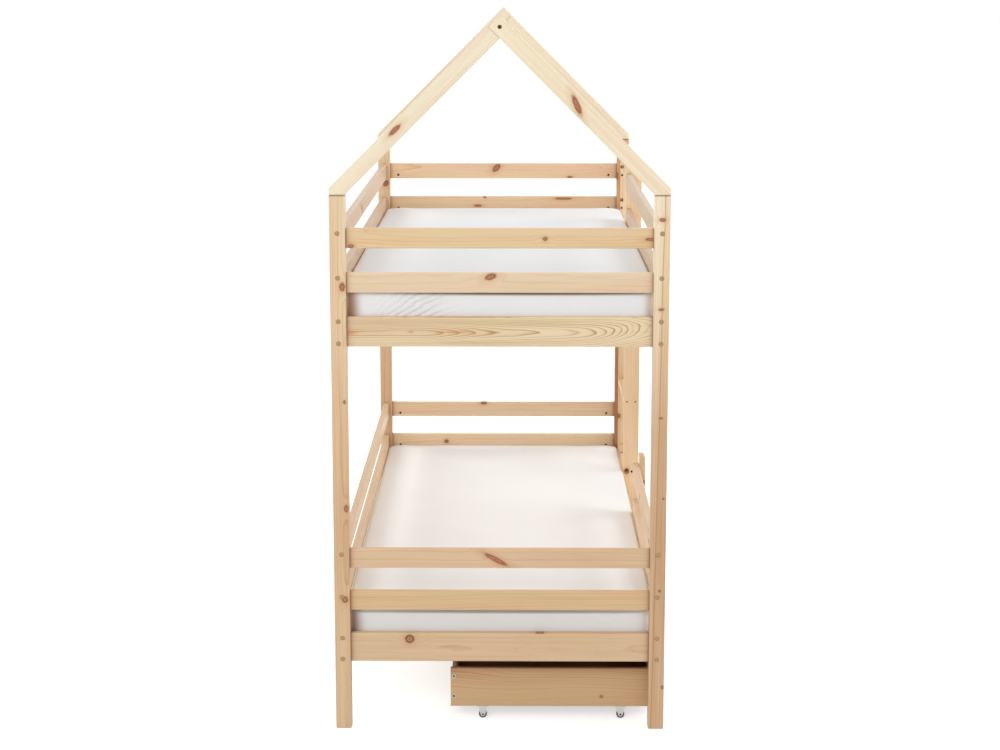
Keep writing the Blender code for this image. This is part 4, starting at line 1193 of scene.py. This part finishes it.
def folded(verts, folds):
    """Raises the surface along folds. Each has a middle, a direction, a half length, a wavelength,
    a number of ridges and a height; the lift is height * cos(wave)^3 * a bell along and across.
    Outward is the way from the middle, each axis to the power of 7, which makes it square."""
    lifted = verts.copy()
    outward = (verts - MATTRESS_MIDDLE) / MATTRESS_HALF
    outward = outward * np.abs(outward) ** 6
    outward /= np.maximum(np.linalg.norm(outward, axis=1, keepdims=True), 1e-9)
    for middle, direction, half_length, wave, ridges, height in folds:
        direction = np.array(direction, float) / np.linalg.norm(direction)
        offset = verts - np.array(middle, float)
        along = offset @ direction
        rest = offset - along[:, None] * direction
        rest -= (rest * outward).sum(axis=1, keepdims=True) * outward
        side = np.cross(outward, direction)
        across = (rest * side).sum(axis=1)
        bend = across + 0.25 * along ** 2 / half_length
        ridge = 0.5 + 0.5 * np.cos(bend * 2 * math.pi / wave)
        bell = np.exp(-(along / half_length) ** 2 - (across / (0.5 * ridges * wave)) ** 2)
        far = np.linalg.norm(offset, axis=1) < 3.5 * half_length
        lifted += outward * (height * ridge ** 3 * bell * far * (verts[:, 2] > FLAT_BELOW))[:, None]
    return lifted


FOLDS = {
    "upper_mattress": [((0.30, 0.55, 0.12), (0.4, 1.0, 0.0), 0.200, 0.060, 2, 0.0012),
                       ((0.43, 0.94, 0.07), (0.3, 0.6, 0.6), 0.050, 0.018, 3, 0.0020)],
    "lower_mattress": [((0.38, -0.97, 0.100), (0.8, 0.4, -0.3), 0.070, 0.022, 3, 0.0018),
                       ((-0.41, -0.93, 0.090), (0.5, 0.8, 0.2), 0.080, 0.026, 3, 0.0016),
                       ((0.05, 0.10, 0.12), (0.9, 0.5, 0.0), 0.260, 0.090, 2, 0.0010),
                       ((0.44, 0.10, 0.06), (0.0, 1.0, 0.25), 0.120, 0.030, 2, 0.0014)],
}
print({name: len(folds) for name, folds in FOLDS.items()})

# %% [markdown]
# The cover is bleached cotton in a plain weave: threads about a millimetre apart, which only show
# from close by as a fine grain, a faint sheen at glancing angles, and slow changes of brightness
# where the cloth lies tighter. The threads run along the bed and across it, and turn down its sides.
#
# Two things are tied to places on the front. Fine folds, where hands pulled the cover tight, are
# waves of the bump map with a bell round their middle. And cloth that lies close to a board is in
# its shade, deeper than soft lamps alone make it, so the corners and the edges under the guards get
# a darker colour that fades out with the fourth power of the distance.

# %% Cotton cover
# middle, turn in degrees, half length, wavelength, number of ridges, lift
PULLED = [((-0.2500, -1.0055, 1.2850), 29, 0.085, 0.017, 8, 5.0),
          ((0.30, -1.0055, 0.36), -24, 0.060, 0.022, 4, 1.2)]
# centre, reach along the three axes, share, colour
SHADED = [((-0.462, -1.006, 1.27), (0.040, 0.04, 0.10), 0.92, (168, 128, 98)),
          ((0.455, -1.006, 1.27), (0.036, 0.04, 0.10), 0.80, (170, 140, 120)),
          ((-0.470, -1.000, 0.29), (0.048, 0.05, 0.12), 0.85, (134, 96, 76)),
          ((0.466, -1.000, 0.29), (0.034, 0.05, 0.12), 0.85, (126, 96, 74)),
          ((0.00, -1.010, 0.28), (0.70, 0.010, 0.12), 0.45, (206, 200, 190)),
          ((0.00, -1.008, 0.3545), (0.56, 0.012, 0.0062), 0.62, (120, 106, 88)),
          ((0.07, -1.008, 1.3172), (0.46, 0.012, 0.0078), 0.88, (104, 82, 58))]
COTTON_WHITE = (240, 240, 240)
THREAD = 0.0009
FOLD_DEPTH = 0.1


def pulled_ridges(tree, place, soft, middle, angle, half_length, wave, ridges):
    """cos(turns)^3 of a wave that bends with the square of the way along, times a bell that falls
    off along, across and into the depth."""
    into = {"Vector": place, "Location": middle, "Rotation": (0, -math.radians(angle), 0),
            "Scale": (half_length, FOLD_DEPTH, wave)}
    local = add(tree, "ShaderNodeMapping", into, vector_type="TEXTURE").outputs[0]
    along, depth, across = add(tree, "ShaderNodeSeparateXYZ", {0: local}).outputs
    square = calc(tree, "MULTIPLY", along, along)
    turns = calc(tree, "MULTIPLY_ADD", square, 0.5, calc(tree, "MULTIPLY_ADD", soft, 1.2, across))
    turned_by = calc(tree, "MULTIPLY", turns, 2 * math.pi)
    ridge = calc(tree, "MULTIPLY_ADD", calc(tree, "COSINE", turned_by), 0.5, 0.5)
    reach = calc(tree, "DIVIDE", across, ridges / 2)
    fall = calc(tree, "ADD", square, calc(tree, "MULTIPLY", reach, reach))
    fall = calc(tree, "MULTIPLY_ADD", depth, depth, fall)
    return calc(tree, "MULTIPLY", calc(tree, "POWER", ridge, 3.0), decay(tree, fall))


def make_cotton():
    """Weave = sin(u) * sin(v), with u along x + z and v along y + z, at 0.9 mm a thread."""
    material, tree, shader = new_material("white cotton", Roughness=0.88, Sheen_Weight=0.22,
                                          Sheen_Roughness=0.5, Specular_IOR_Level=0.25)
    place = add(tree, "ShaderNodeTexCoord").outputs["Object"]
    x, y, z = add(tree, "ShaderNodeSeparateXYZ", {0: place}).outputs
    per_thread = math.pi / THREAD
    warp = calc(tree, "SINE", calc(tree, "MULTIPLY", calc(tree, "ADD", x, z), per_thread))
    weft = calc(tree, "SINE", calc(tree, "MULTIPLY", calc(tree, "ADD", y, z), per_thread))
    weave = calc(tree, "MULTIPLY", warp, weft)
    slub = drawn_noise(tree, place, (260.0, 40.0, 260.0))[0]
    patch = noise(tree, place, 5.0, 2.0)[0]
    light = around(tree, slub, 0.03, around(tree, patch, 0.05, 1.0))
    light = calc(tree, "MULTIPLY_ADD", weave, 0.012, light)
    base = add(tree, "ShaderNodeRGB")
    base.outputs[0].default_value = linear(*COTTON_WHITE)
    colour = vector(tree, "SCALE", base.outputs[0], light)
    for centre, reach, share, shade in SHADED:
        offset = vector(tree, "DIVIDE", vector(tree, "SUBTRACT", place, centre), reach)
        bell = decay(tree, calc(tree, "POWER", vector(tree, "LENGTH", offset), 4.0))
        colour = blend(tree, calc(tree, "MULTIPLY", bell, share), colour, linear(*shade))
    tree.links.new(colour, shader.inputs["Base Color"])
    soft = drawn_noise(tree, place, (14.0, 9.0, 30.0), 3.0, 0.5)[0]
    height = calc(tree, "MULTIPLY_ADD", weave, 0.06, calc(tree, "MULTIPLY", soft, 1.6))
    for *fold, lift in PULLED:
        height = calc(tree, "MULTIPLY_ADD", pulled_ridges(tree, place, soft, *fold), lift, height)
    bump = add(tree, "ShaderNodeBump", {"Strength": 0.5, "Distance": 0.002, "Height": height})
    tree.links.new(bump.outputs[0], shader.inputs["Normal"])
    return material


cotton = make_cotton()
for node, folds in FOLDS.items():
    low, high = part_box(node)
    place = np.array([(low.x + high.x) / 2, (low.y + high.y) / 2, low.z])
    cover = mesh_piece(f"{node}_cover", folded(foam_verts, folds) + place, foam_faces, cotton, "bed")
    finer = cover.modifiers.new("finer", "SUBSURF")
    finer.levels = finer.render_levels = 1
    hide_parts(node)
print("cotton on", list(FOLDS))
